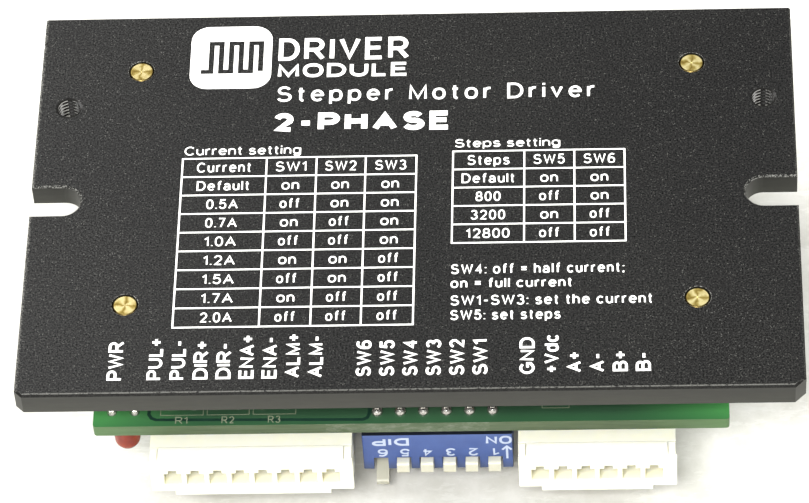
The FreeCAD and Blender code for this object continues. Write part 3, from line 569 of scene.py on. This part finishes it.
# plain sans-serif letters as centre lines: width, strokes; capitals are 1 high, small letters 0.72
GLYPH = {
    " ": (0.30, []),
    "A": (0.90, [[(0, 0), (.45, 1), (.90, 0)], [(.16, .34), (.74, .34)]]),
    "B": (0.78, [[(0, .53), (0, 1), (.42, 1)] + arc(.42, .765, .30, .235, 90, -90) + [(0, .53)], [(0, .53), (0, 0), (.45, 0)] + arc(.45, .265, .33, .265, -90, 90) + [(0, .53)]]),
    "C": (0.86, [arc(.46, .5, .46, .5, 42, 318, 14)]),
    "D": (0.84, [("o", [(0, 0), (0, 1), (.36, 1)] + arc(.36, .5, .48, .5, 90, -90, 12))]),
    "E": (0.72, [[(.72, 1), (0, 1), (0, 0), (.74, 0)], [(0, .53), (.66, .53)]]),
    "G": (0.92, [arc(.46, .5, .46, .5, 44, 316, 14) + [(.90, .20), (.90, .46), (.52, .46)]]),
    "H": (0.80, [[(0, 0), (0, 1)], [(.80, 0), (.80, 1)], [(0, .53), (.80, .53)]]),
    "I": (0.001, [[(0, 0), (0, 1)]]),
    "L": (0.64, [[(0, 1), (0, 0), (.64, 0)]]),
    "M": (0.96, [[(0, 0), (0, 1), (.48, .02), (.96, 1), (.96, 0)]]),
    "N": (0.80, [[(0, 0), (0, 1), (.80, 0), (.80, 1)]]),
    "O": (0.92, [ring_of(.46, .5, .46, .5)]),
    "P": (0.76, [[(0, 0), (0, 1), (.44, 1)] + arc(.44, .73, .32, .27, 90, -90) + [(0, .46)]]),
    "R": (0.84, [[(0, 0), (0, 1), (.46, 1)] + arc(.46, .735, .33, .265, 90, -90) + [(0, .47)], [(.42, .47), (.84, 0)]]),
    "S": (0.78, [arc(.39, .755, .33, .245, 22, 255, 10) + arc(.39, .265, .39, .265, 80, -158, 10)]),
    "T": (0.78, [[(0, 1), (.78, 1)], [(.39, 1), (.39, 0)]]),
    "U": (0.80, [[(0, 1), (0, .38)] + arc(.40, .38, .40, .38, 180, 360, 10) + [(.80, 1)]]),
    "V": (0.86, [[(0, 1), (.43, 0), (.86, 1)]]),
    "W": (1.24, [[(0, 1), (.31, 0), (.62, .98), (.93, 0), (1.24, 1)]]),
    "a": (0.64, [arc(.31, .47, .28, .25, 158, 0, 8) + [(.59, .10), (.66, 0)], [(.59, .42), (.27, .38)] + arc(.27, .19, .27, .19, 90, 270, 7) + arc(.30, .28, .29, .28, -85, -10, 5)]),
    "c": (0.60, [arc(.33, .36, .33, .36, 44, 316, 12)]),
    "d": (0.66, [ring_of(.32, .36, .32, .36, 16), [(.66, 0), (.66, 1)]]),
    "e": (0.66, [[(.02, .39), (.66, .39)] + arc(.34, .36, .33, .36, 6, 318, 13)]),
    "f": (0.36, [[(.15, 0), (.15, .80)] + arc(.34, .80, .19, .20, 180, 95, 5) + [(.40, 1)], [(0, .70), (.36, .70)]]),
    "g": (0.66, [ring_of(.32, .36, .32, .36, 16), [(.66, .72), (.66, -.04)] + arc(.34, -.04, .32, .23, 0, -155, 8)]),
    "h": (0.60, [[(0, 0), (0, 1)], [(0, .42)] + arc(.30, .42, .30, .30, 180, 0, 9) + [(.60, 0)]]),
    "i": (0.001, [[(0, 0), (0, .72)], [(0, .90), (0, 1.02)]]),
    "l": (0.001, [[(0, 0), (0, 1)]]),
    "m": (1.00, [[(0, 0), (0, .72)], [(0, .45)] + arc(.25, .45, .25, .27, 180, 0, 8) + [(.50, 0)], [(.50, .45)] + arc(.75, .45, .25, .27, 180, 0, 8) + [(1.0, 0)]]),
    "n": (0.58, [[(0, 0), (0, .72)], [(0, .42)] + arc(.29, .42, .29, .30, 180, 0, 9) + [(.58, 0)]]),
    "o": (0.66, [ring_of(.33, .36, .33, .36, 16)]),
    "p": (0.66, [[(0, -.27), (0, .72)], ring_of(.34, .36, .32, .36, 16)]),
    "r": (0.34, [[(0, 0), (0, .72)], [(0, .40)] + arc(.30, .40, .30, .32, 180, 78, 6)]),
    "s": (0.56, [arc(.28, .545, .24, .175, 20, 255, 9) + arc(.28, .19, .28, .19, 80, -158, 9)]),
    "t": (0.34, [[(.14, .94), (.14, .17)] + arc(.30, .17, .16, .17, 180, 275, 5), [(0, .70), (.34, .70)]]),
    "u": (0.58, [[(0, .72), (0, .30)] + arc(.29, .30, .29, .30, 180, 360, 9), [(.58, .72), (.58, 0)]]),
    "v": (0.60, [[(0, .72), (.30, 0), (.60, .72)]]),
    "0": (0.64, [ring_of(.32, .5, .32, .5)]),
    "1": (0.34, [[(.0, .74), (.30, 1.0), (.30, 0)]]),
    "2": (0.66, [arc(.33, .70, .32, .30, 165, -28, 9) + [(.02, 0), (.67, 0)]]),
    "3": (0.66, [arc(.31, .76, .29, .24, 155, -88, 9), arc(.31, .265, .34, .265, 88, -158, 10)]),
    "4": (0.70, [[(.52, 0), (.52, 1), (0, .30), (.70, .30)]]),
    "5": (0.66, [[(.62, 1), (.13, 1), (.05, .50)] + arc(.31, .33, .34, .33, 132, -158, 11)]),
    "6": (0.66, [ring_of(.33, .285, .33, .285, 18), arc(.42, .46, .42, .54, 58, 176, 9) + [(.0, .30)]]),
    "7": (0.64, [[(0, 1), (.64, 1), (.22, 0)]]),
    "8": (0.66, [ring_of(.33, .76, .27, .24, 16), ring_of(.33, .265, .33, .265, 16)]),
    "9": (0.66, [ring_of(.33, .715, .33, .285, 18), [(.66, .70)] + arc(.24, .54, .42, .54, -4, -122, 9)]),
    ".": (0.001, [[(0, -.02), (0, .07)]]),
    ":": (0.001, [[(0, -.02), (0, .07)], [(0, .58), (0, .67)]]),
    ";": (0.10, [[(.05, .58), (.05, .67)], [(.06, .06), (0, -.14)]]),
    ",": (0.08, [[(.08, .06), (0, -.14)]]),
    "=": (0.62, [[(0, .36), (.62, .36)], [(0, .64), (.62, .64)]]),
    "+": (0.62, [[(.31, .15), (.31, .81)], [(0, .48), (.62, .48)]]),
    "-": (0.40, [[(0, .44), (.40, .44)]]),
    "/": (0.36, [[(0, -.04), (.36, 1.02)]]),
}


def strip(pts, w, closed=False):
    """outline quads of a mitred band of width w along the points"""
    p = [Vector((q[0], q[1])) for q in pts]
    clean = [p[0]]
    for q in p[1:]:
        if (q - clean[-1]).length > 1e-4:
            clean.append(q)
    if closed and (clean[0] - clean[-1]).length < 1e-4:
        clean.pop()
    p = clean
    n = len(p)
    if n < 2:
        return []
    left, right = [], []
    for i in range(n):
        if closed:
            d0, d1 = p[i] - p[i - 1], p[(i + 1) % n] - p[i]
        else:
            d0 = p[i] - p[i - 1] if i > 0 else p[1] - p[0]
            d1 = p[i + 1] - p[i] if i < n - 1 else p[i] - p[i - 1]
        d0, d1 = d0.normalized(), d1.normalized()
        n0, n1 = Vector((-d0.y, d0.x)), Vector((-d1.y, d1.x))
        m = n0 + n1
        if m.length < 0.25:
            m = n0
            k = 1.0
        else:
            m.normalize()
            k = min(1.0 / max(m.dot(n0), 0.2), 2.2)
        # a sharp corner is blunt on its outer side
        out = 1.15 if k > 1.6 else k
        kl, kr = (k, out) if d0.x * d1.y - d0.y * d1.x > 0 else (out, k)
        left.append(p[i] + m * (w / 2 * kl))
        right.append(p[i] - m * (w / 2 * kr))
    quads = []
    for i in range(n if closed else n - 1):
        j = (i + 1) % n
        quads.append([left[i], right[i], right[j], left[j]])
    return quads


class Ink:
    """collects flat shapes in plate-frame millimetres and turns them into one thin printed piece"""

    def __init__(self, name, z0=0.001, z1=0.022):
        self.name, self.z0, self.z1 = name, z0, z1
        self.groups = [[]]

    def text(self, body, x, y, w, h, rot=0, stroke=0.18, gap=0.17):
        """capitals fill the box x..x+w, y..y+h before rotation about (x, y); stroke and result in mm"""
        s = stroke
        hh = h - s
        inner = sum(GLYPH[c][0] for c in body) * hh
        fixed = len(body.replace(" ", "")) * s + gap * h * (len(body) - 1)
        kx = (w - fixed) / inner if w else 1.0
        c, sn = math.cos(math.radians(rot)), math.sin(math.radians(rot))
        pen = 0.0
        for ch in body:
            self.groups.append([])
            wd, strokes = GLYPH[ch]
            for st in strokes:
                closed = isinstance(st, tuple)
                pts = st[1] if closed else st
                pts = [(pen + s / 2 + q[0] * hh * kx, s / 2 + q[1] * hh) for q in pts]
                for quad in strip(pts, s, closed):
                    self.poly([(x + c * v.x - sn * v.y, y + sn * v.x + c * v.y) for v in quad])
            pen += wd * hh * kx + (s if ch != " " else 0.0) + gap * h
        self.groups.append([])

    def centred(self, body, cx, cy, w, h, rot=0, stroke=0.18, gap=0.17):
        c, s = math.cos(math.radians(rot)), math.sin(math.radians(rot))
        self.text(body, cx - c * w / 2 + s * h / 2, cy - s * w / 2 - c * h / 2, w, h, rot, stroke, gap)

    def poly(self, pts):
        self.groups[-1].append([(p[0], p[1]) for p in pts])

    def bar(self, x0, y0, x1, y1):
        self.poly([(x0, y0), (x1, y0), (x1, y1), (x0, y1)])

    def line(self, pts, w):
        for (ax, ay), (bx, by) in zip(pts, pts[1:]):
            d = Vector((bx - ax, by - ay))
            if d.length < 1e-6:
                continue
            d.normalize()
            nx, ny = -d.y * w / 2, d.x * w / 2
            ex, ey = d.x * w / 2, d.y * w / 2
            self.poly([(ax - ex + nx, ay - ey + ny), (ax - ex - nx, ay - ey - ny), (bx + ex - nx, by + ey - ny), (bx + ex + nx, by + ey + ny)])

    def ring(self, cx, cy, r0, r1, n=64):
        for k in range(n):
            a, b = 2 * math.pi * k / n, 2 * math.pi * (k + 1) / n
            self.poly([(cx + r0 * math.cos(a), cy + r0 * math.sin(a)), (cx + r1 * math.cos(a), cy + r1 * math.sin(a)),
                       (cx + r1 * math.cos(b), cy + r1 * math.sin(b)), (cx + r0 * math.cos(b), cy + r0 * math.sin(b))])

    def build(self, mat, body="driver_frame", frame_fn=None, thick=True):
        bm = bmesh.new()
        z0, z1 = self.z0, self.z1
        for group in self.groups:
            # overlapping strokes are merged into one flat outline before it is given its thickness
            verts, faces = [], []
            for pts in group:
                for k in range(1, len(pts) - 1):
                    tri = [pts[0], pts[k], pts[k + 1]]
                    area2 = (tri[1][0] - tri[0][0]) * (tri[2][1] - tri[0][1]) - (tri[2][0] - tri[0][0]) * (tri[1][1] - tri[0][1])
                    if abs(area2) < 1e-7:
                        continue
                    if area2 < 0:
                        tri.reverse()
                    faces.append([len(verts), len(verts) + 1, len(verts) + 2])
                    verts += [Vector(q) for q in tri]
            if not faces:
                continue
            out = delaunay_2d_cdt(verts, [], faces, 0, 1e-5, True)
            flat, tris = out[0], []
            for f, orig in zip(out[2], out[5]):
                if orig:
                    a_, b_, c_ = (flat[i] for i in f[:3])
                    if (b_ - a_).cross(c_ - a_) < 0:
                        f = list(f)[::-1]
                    tris.append(list(f))
            used = sorted({i for f in tris for i in f})
            lo_ = {i: bm.verts.new((flat[i].x, flat[i].y, z0)) for i in used}
            hi_ = {i: bm.verts.new((flat[i].x, flat[i].y, z1)) for i in used}
            rim = set()
            for f in tris:
                bm.faces.new([hi_[i] for i in f])
                bm.faces.new([lo_[i] for i in reversed(f)])
                for i in range(3):
                    rim.add((f[i], f[(i + 1) % 3]))
            for i, j in sorted(rim):
                if (j, i) not in rim:
                    bm.faces.new((lo_[i], lo_[j], hi_[j], hi_[i]))
        fn = frame_fn or (lambda co: loc(co.x, co.y, co.z))
        for v in bm.verts:
            v.co = fn(v.co)
        me = bpy.data.meshes.new(self.name)
        bm.to_mesh(me)
        bm.free()
        ob = bpy.data.objects.new(self.name, me)
        scene.collection.objects.link(ob)
        me.materials.append(mat)
        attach(ob, body)
        return ob


# ---- emblem: a plain pulse train in a white panel with rounded corners
em = Ink("print_emblem", 0.001, 0.016)
ex0, ey0, ex1, ey1, er = -25.92, 16.26, -16.58, 25.76, 2.1
panel = []
for cx_, cy_, a0 in ((ex1 - er, ey1 - er, 0), (ex0 + er, ey1 - er, 90), (ex0 + er, ey0 + er, 180), (ex1 - er, ey0 + er, 270)):
    panel += arc(cx_, cy_, er, er, a0, a0 + 90, 8)
em.poly(panel)
em.build(M["ink"])
ep = Ink("print_emblem_pulse", 0.014, 0.023)
pts = [(ex0 + 1.25, ey0 + 2.6)]
px = ex0 + 1.25
for k in range(3):
    pts += [(px + 1.15, ey0 + 2.6), (px + 1.15, ey0 + 6.9), (px + 2.28, ey0 + 6.9), (px + 2.28, ey0 + 2.6)]
    px += 2.28
for quad in strip(pts, 0.62):
    ep.poly([(v.x, v.y) for v in quad])
ep.build(M["plate"])

# ---- heading words
hd = Ink("print_heading")
hd.text("DRIVER", -15.80, 20.40, 15.0, 3.40, stroke=0.52, gap=0.16)
hd.text("MODULE", -15.80, 17.80, 14.9, 2.10, stroke=0.42, gap=0.20)
hd.text("Stepper Motor Driver", -15.80, 14.12, 36.3, 2.33, stroke=0.31, gap=0.27)
hd.text("2-PHASE", -16.0, 9.58, 20.1, 2.82, stroke=0.70, gap=0.20)
hd.build(M["ink"])

# ---- two tables
LW = 0.19
tb = Ink("print_tables")
c1 = [-26.09, -16.58, -10.94, -5.40, 0.32]
rows1 = [5.78 - k * (5.78 + 18.56) / 9 for k in range(10)]
for yy in rows1:
    tb.bar(c1[0] - LW / 2, yy - LW / 2, c1[-1] + LW / 2, yy + LW / 2)
for xx in c1:
    tb.bar(xx - LW / 2, rows1[-1] + LW / 2, xx + LW / 2, rows1[0] - LW / 2)
c2 = [4.44, 12.46, 18.08, 23.72]
rows2 = [6.28 - k * (6.28 + 7.10) / 5 for k in range(6)]
for yy in rows2:
    tb.bar(c2[0] - LW / 2, yy - LW / 2, c2[-1] + LW / 2, yy + LW / 2)
for xx in c2:
    tb.bar(xx - LW / 2, rows2[-1] + LW / 2, xx + LW / 2, rows2[0] - LW / 2)
tb.build(M["ink"])

tt = Ink("print_table_text")
WIDE = {"on": 1.98, "off": 2.22, "Default": 5.95, "Current": 6.15, "Steps": 4.75, "800": 2.80, "3200": 3.85, "12800": 4.85}


def cell(cols, rws, i, j, s):
    cx = (cols[j] + cols[j + 1]) / 2 - 0.03
    cy = (rws[i] + rws[i + 1]) / 2 + 0.02
    wide = WIDE.get(s, 3.55 if s.startswith("SW") else 3.55)
    tt.centred(s, cx, cy, wide, 1.46 if i == 0 else 1.40, stroke=0.180, gap=0.16)


data1 = [("Current", "SW1", "SW2", "SW3"), ("Default", "on", "on", "on"), ("0.5A", "off", "on", "on"), ("0.7A", "on", "off", "on"), ("1.0A", "off", "off", "on"),
         ("1.2A", "on", "on", "off"), ("1.5A", "off", "on", "off"), ("1.7A", "on", "off", "off"), ("2.0A", "off", "off", "off")]
for i, row in enumerate(data1):
    for j, s in enumerate(row):
        cell(c1, rows1, i, j, s)
data2 = [("Steps", "SW5", "SW6"), ("Default", "on", "on"), ("800", "off", "on"), ("3200", "on", "off"), ("12800", "off", "off")]
for i, row in enumerate(data2):
    for j, s in enumerate(row):
        cell(c2, rows2, i, j, s)
tt.text("Current setting", -25.95, 6.28, 13.2, 1.30, stroke=0.160, gap=0.15)
tt.text("Steps setting", 4.60, 6.86, 11.9, 1.24, stroke=0.160, gap=0.15)
tt.text("SW4: off = half current;", 4.38, -11.55, 19.2, 1.42, stroke=0.192, gap=0.16)
tt.text("on = full current", 4.38, -13.52, 13.4, 1.36, stroke=0.192, gap=0.16)
tt.text("SW1-SW3: set the current", 4.38, -15.98, 22.2, 1.42, stroke=0.192, gap=0.16)
tt.text("SW5: set steps", 4.38, -18.03, 12.1, 1.40, stroke=0.192, gap=0.16)
tt.build(M["ink"])

# ---- terminal names, reading upward
lb = Ink("print_terminal_names")
for s, xc, w, y0, y1 in (("PWR", -32.13, 1.86, -25.78, -20.42), ("PUL+", -27.81, 1.76, -25.78, -20.0), ("PUL-", -25.30, 1.76, -25.78, -20.35),
                         ("DIR+", -22.79, 1.76, -25.78, -20.45), ("DIR-", -20.28, 1.76, -25.78, -20.80), ("ENA+", -17.78, 1.76, -25.78, -19.70),
                         ("ENA-", -15.27, 1.76, -25.78, -20.05), ("ALM+", -12.76, 1.76, -25.70, -19.60), ("ALM-", -10.26, 1.76, -25.70, -19.95),
                         ("SW6", -4.96, 1.78, -25.68, -20.70), ("SW5", -2.42, 1.78, -25.68, -20.70), ("SW4", 0.11, 1.78, -25.68, -20.70),
                         ("SW3", 2.65, 1.78, -25.68, -20.70), ("SW2", 5.19, 1.78, -25.68, -20.70), ("SW1", 7.72, 1.78, -25.68, -20.70),
                         ("GND", 12.83, 1.78, -25.62, -20.58), ("+Vdc", 15.45, 1.78, -25.52, -20.22), ("A+", 17.93, 1.76, -25.45, -22.65),
                         ("A-", 20.43, 1.76, -25.45, -22.90), ("B+", 22.93, 1.76, -25.42, -22.60), ("B-", 25.43, 1.76, -25.42, -22.85)):
    h = 0.93 * w
    lb.text(s, xc + (w if xc < -9 else h) / 2, y0, y1 - y0, h, rot=90, stroke=0.29, gap=0.14)
lb.build(M["ink"])

# ---- board legend (thin ink on the mask), on the board's top face
ZT, ZB = -8.0, -9.6
sk = Ink("board_legend_top", ZT + 0.001, ZT + 0.012)
for (x0, x1), s in zip(((-27.76, -23.05), (-22.61, -17.97), (-17.53, -12.83)), ("R1", "R2", "R3")):
    for seg in (((x0, -24.52), (x1, -24.52)), ((x0, -24.52), (x0, -21.4)), ((x1, -24.52), (x1, -21.4)), ((x0, -21.4), (x1, -21.4))):
        for quad in strip(seg, 0.085):
            sk.poly([(v.x, v.y) for v in quad])
    sk.text(s, (x0 + x1) / 2 - 0.70, -25.74, 1.40, 1.00, stroke=0.125, gap=0.16)
for seg in (((14.28, -24.15), (17.24, -24.15)), ((14.28, -24.15), (14.28, -21.8)), ((17.24, -24.15), (17.24, -21.8))):
    for quad in strip(seg, 0.085):
        sk.poly([(v.x, v.y) for v in quad])
sk.build(M["silk_in_painted_shade"])

# ---- switch legend on the front face, standing upside down as the switch is mounted
FACE = -25.85


def on_face(co):
    """ink plane to the switch's front face: local x -> X, local y -> Z"""
    return loc(co.x, FACE - co.z, co.y)


dl = Ink("switch_legend", 0.001, 0.014)
dip_x = [2.62 + (k - 2.5) * 2.54 for k in range(6)]
for k in range(6):
    wide = 1.10 if k < 5 else 0.84
    dl.centred(str(6 - k), dip_x[k] + (0.26, 0.18, 0.12, 0.17, 0.14, 0.10)[k], -13.56, wide, 1.36, rot=180, stroke=0.235)
dl.centred("ON", 9.43, -11.45, 2.90, 1.46, rot=180, stroke=0.29, gap=0.15)
dl.centred("DIP", -2.55, -11.60, 4.10, 1.36, rot=180, stroke=0.32, gap=0.22)
ax = 10.28
for pts_ in ([(ax, -14.84), (ax, -12.70)], [(ax - 0.52, -13.24), (ax, -12.62), (ax + 0.52, -13.24)]):
    for quad in strip(pts_, 0.25):
        dl.poly([(v.x, v.y) for v in quad])
dl.build(M["ink_blue"], frame_fn=on_face)


# =====================================================================================
# copper tracks and vias seen through the board's mask
# =====================================================================================
def trace_material():
    m = Mat("mask_over_copper")
    n1 = m.noise(0.7, 2.0, 0.5)
    m.color(m.ramp(n1, [(0.3, (0.045, 0.255, 0.085)), (0.7, (0.070, 0.330, 0.115))]))
    m.rough(m.math("ADD", 0.26, m.math("MULTIPLY", n1, 0.12)))
    m.normal(m.bump(n1, 0.1, 0.02))
    m.b.inputs["Coat Weight"].default_value = 0.25
    m.b.inputs["Coat Roughness"].default_value = 0.18
    return m.m


M["trace"] = trace_material()


def dark_gap_material():
    m = Mat("bare_mask_gap")
    n1 = m.noise(0.9, 2.0, 0.5)
    m.color(m.ramp(n1, [(0.3, (0.008, 0.030, 0.020)), (0.7, (0.011, 0.042, 0.026))]))
    m.rough(m.math("ADD", 0.34, m.math("MULTIPLY", n1, 0.10)))
    m.normal(m.bump(n1, 0.1, 0.02))
    return m.m


M["gap"] = dark_gap_material()
rng = random.Random(11)


def route(ax, ay, bx, by):
    """a track with one 45 degree run between two points"""
    dx, dy = bx - ax, by - ay
    d = min(abs(dx), abs(dy))
    sx, sy = (1 if dx > 0 else -1), (1 if dy > 0 else -1)
    if abs(dx) > abs(dy):
        s1 = (abs(dx) - d) * 0.5
        return [(ax, ay), (ax + sx * s1, ay), (ax + sx * (s1 + d), by), (bx, by)]
    s1 = (abs(dy) - d) * 0.5
    return [(ax, ay), (ax, ay + sy * s1), (bx, ay + sy * (s1 + d)), (bx, by)]


def lay(ink, pts, w):
    for quad in strip(pts, w):
        ink.poly([(v.x, v.y) for v in quad])


under = Ink("board_tracks_under", ZB - 0.018, ZB - 0.001)
over = Ink("board_tracks_top", ZT + 0.001, ZT + 0.018)
gaps = Ink("board_pour_gap", ZT + 0.001, ZT + 0.006)
vias_u = Ink("board_vias_under", ZB - 0.026, ZB - 0.002)
vias_o = Ink("board_vias_top", ZT + 0.002, ZT + 0.026)
sig_x = [-17.80 + (k - 3.5) * 2.5 for k in range(8)]
pow_x = [20.23 + (k - 2.5) * 2.5 for k in range(6)]
# from the connectors and the switch to the parts they serve
for k, x in enumerate(sig_x):
    tx = (-17.77, -15.23, -12.27, -9.73)[k % 4]
    lay(under, route(x, -17.3, tx + (0.35 if k > 3 else -0.35), -15.6), 0.26)
for k, x in enumerate(dip_x):
    lay(under, route(x, -16.73, -5.6 + k * 0.5, -9.8), 0.20)
for k in range(6):
    lay(under, route(1.5, -7.6 + k * 0.5, 3.3 + 0.30 * k, 0.6 + 0.9 * k), 0.18)
    lay(under, route(-7.5, -6.6 + k * 0.5, -8.6 - 0.22 * k, -0.2 + 0.9 * k), 0.18)
for k in range(6):
    x = -5.2 + k * 0.5
    lay(under, route(x, -0.4, x - 4.6 - 0.5 * k, 8.6 + 0.5 * k), 0.18)
for k, x in enumerate(pow_x):
    lay(under, route(x, -17.3, x - 1.6 + 0.5 * k, -13.3 + 0.2 * k), 0.8 if k > 1 else 1.3)
for k in range(5):
    lay(under, route(-30.2, -5.6 + 3.2 * k, -25.4 - 0.5 * k, 2.6 + 2.1 * k), 0.24)
    lay(under, route(30.0, 3.6 + 3.2 * k, 27.2 - 0.4 * k, 6.5 + 2.2 * k), 0.34)
lay(under, [(19.4, 3.4), (21.3, 3.4), (21.3, 1.2), (21.9, 1.2)], 1.5)
lay(under, [(11.8, 4.6), (10.4, 6.0), (10.4, 8.0)], 1.1)
lay(under, [(-14.5, 11.0), (-14.5, 9.2), (-9.0, 9.2)], 1.4)
lay(under, [(14.5, 11.0), (14.5, 9.2)], 1.6)
for k in range(6):
    lay(over, route(-30.0 + 4.2 * k, -19.4, -24.0 + 3.0 * k, -13.2), 0.24)
    lay(over, route(6.0 + 4.0 * k, -18.2, 8.6 + 2.0 * k, -2.6), 0.40)
for k in range(14):
    lay(over, [(-13.0 + (k - 6.5) * 0.65, -1.2), (-13.0 + (k - 6.5) * 0.65, -2.4 - 0.3 * (k % 3))], 0.2)
    lay(over, [(13.0 + (k - 6.5) * 0.65, -1.2), (13.0 + (k - 6.5) * 0.65, -2.4 - 0.3 * (k % 3))], 0.2)
gap_path = [(-4.72, -24.62), (-4.92, -25.18), (-5.42, -25.42)]
gap_path += [(-28.2, -25.12), (-28.75, -24.90), (-29.05, -24.38), (-29.05, -19.5)]
lay(gaps, [(-4.72, -19.5)] + gap_path, 0.38)
busy = ((-24, -8), (24, -8), (0, 17), (15.6, 3.4), (-3, -5), (-31.5, 19), (31.5, 19), (-31.5, -15.3), (31.5, -15.3), (-13, 2), (13, 2))
small = ((-16.5, -11.5), (-11, -11.5), (-16.5, -2), (-11, -2), (9.5, -4.5))
for side, store in ((0, vias_u), (1, vias_o)):
    count = 0
    while count < 44:
        x, y = rng.uniform(-33.5, 33.0), rng.uniform(-13.0, 21.0)
        if any(abs(x - px) < 5.3 and abs(y - py) < 5.3 for px, py in busy):
            continue
        if side == 0 and any(abs(x - px) < 3.4 and abs(y - py) < 4.8 for px, py in small):
            continue
        if side == 0 and (abs(x + 3) < 6.4 and abs(y - 4.9) < 3.2 or abs(abs(x) - 14.5) < 4 and abs(y - 13) < 2.4 or abs(x - 24.5) < 3.6 and (abs(y - 1.2) < 2.0 or abs(y - 13.5) < 2.0)):
            continue
        store.ring(x, y, 0.17, 0.36, 14)
        count += 1
under.build(M["trace"])
over.build(M["trace"])
gaps.build(M["gap"])
vias_u.build(M["solder"])
vias_o.build(M["solder"])

# =====================================================================================
# floor, lights, camera
# =====================================================================================
def paper():
    m = Mat("backdrop_paper")
    n1 = m.noise(0.012, 3.0, 0.5)
    n2 = m.noise(0.9, 3.0, 0.6)
    cloud = m.noise(0.20, 5.0, 0.70)
    fibre = m.noise(0.55, 3.0, 0.7, vec=m.scale((0.5, 1.6, 1.0), rot=(0, 0, 0.35)))
    base = m.ramp(n1, [(0.35, (0.576, 0.571, 0.547)), (0.65, (0.609, 0.604, 0.581))])
    base = m.mix(m.ramp(cloud, [(0.36, (0.0, 0.0, 0.0)), (0.62, (1.0, 1.0, 1.0))]), m.mix(1.0, base, (0.85, 0.85, 0.83), "MULTIPLY"), base)
    base = m.mix(m.math("MULTIPLY", m.math("GREATER_THAN", fibre, 0.57), 0.35), base, (0.65, 0.65, 0.63))
    m.color(base)
    m.rough(m.math("ADD", 0.75, m.math("MULTIPLY", n2, 0.1)))
    m.normal(m.bump(n2, 0.10, 0.05))
    m.b.inputs["Specular IOR Level"].default_value = 0.12
    return m.m


bm = bmesh.new()
S, R = 1.6, 24
grid = []
for j in range(R + 1):
    row = []
    for i in range(R + 1):
        x = -S + 2 * S * i / R
        y = -S + 2 * S * j / R
        z = 0.0 if y < 0.7 else 0.9 * (y - 0.7) ** 2
        row.append(bm.verts.new((x, y, z)))
    grid.append(row)
for j in range(R):
    for i in range(R):
        bm.faces.new((grid[j][i], grid[j][i + 1], grid[j + 1][i + 1], grid[j + 1][i]))
me = bpy.data.meshes.new("floor")
bm.to_mesh(me)
bm.free()
for p in me.polygons:
    p.use_smooth = True
floor = bpy.data.objects.new("floor", me)
scene.collection.objects.link(floor)
me.materials.append(paper())

world = bpy.data.worlds.new("studio")
scene.world = world
world.use_nodes = True
bg = world.node_tree.nodes["Background"]
bg.inputs[0].default_value = (1.0, 0.995, 0.975, 1.0)
bg.inputs[1].default_value = 0.34


def area(name, pos, target, size, power, color=(1, 1, 1)):
    l = bpy.data.lights.new(name, "AREA")
    l.shape = "RECTANGLE"
    l.size, l.size_y = size
    l.energy = power
    l.color = color
    o = bpy.data.objects.new(name, l)
    scene.collection.objects.link(o)
    o.location = pos
    o.rotation_euler = (Vector(target) - Vector(pos)).to_track_quat("-Z", "Y").to_euler()
    return o


area("key_front", (-0.12, -0.63, 0.80), (0, 0, 0.01), (0.46, 0.34), 14.8, (1.0, 0.99, 0.965))
area("back_left", (-0.48, 0.44, 0.64), (0, 0, 0.01), (0.40, 0.34), 10.0, (1.0, 0.995, 0.97))
area("side_right", (0.52, 0.02, 0.60), (0, 0, 0.01), (0.22, 0.30), 6.2, (1.0, 0.995, 0.97))
area("side_left", (-0.56, -0.04, 0.58), (0, 0, 0.01), (0.22, 0.30), 2.4, (1.0, 0.995, 0.97))

# camera set at the view's angle: elevation 50.5 degrees, azimuth 4.2, roll 4.1
el, az, roll = math.radians(50.49), math.radians(4.23), math.radians(4.10)
fwd = Vector((-math.sin(az) * math.cos(el), math.cos(az) * math.cos(el), -math.sin(el)))
right = Vector((math.cos(az), math.sin(az), 0.0))
down = fwd.cross(right)
r2 = math.cos(roll) * right + math.sin(roll) * down
d2 = -math.sin(roll) * right + math.cos(roll) * down
cam_d = bpy.data.cameras.new("camera")
cam_d.sensor_fit = "HORIZONTAL"
cam_d.sensor_width = 36.0
cam_d.lens = 211.06
cam_d.clip_start = 0.01
cam_d.clip_end = 20.0
cam = bpy.data.objects.new("camera", cam_d)
scene.collection.objects.link(cam)
rotm = Matrix((r2, -d2, -fwd)).transposed()
cam.matrix_world = Matrix.Translation(Vector((0.02388, -0.34163 + 0.00105, 0.40544 + 0.020))) @ rotm.to_4x4()
scene.camera = cam
scene.view_settings.view_transform = "Standard"
scene.view_settings.look = "None"
scene.view_settings.exposure = 0.0
scene.view_settings.gamma = 1.0
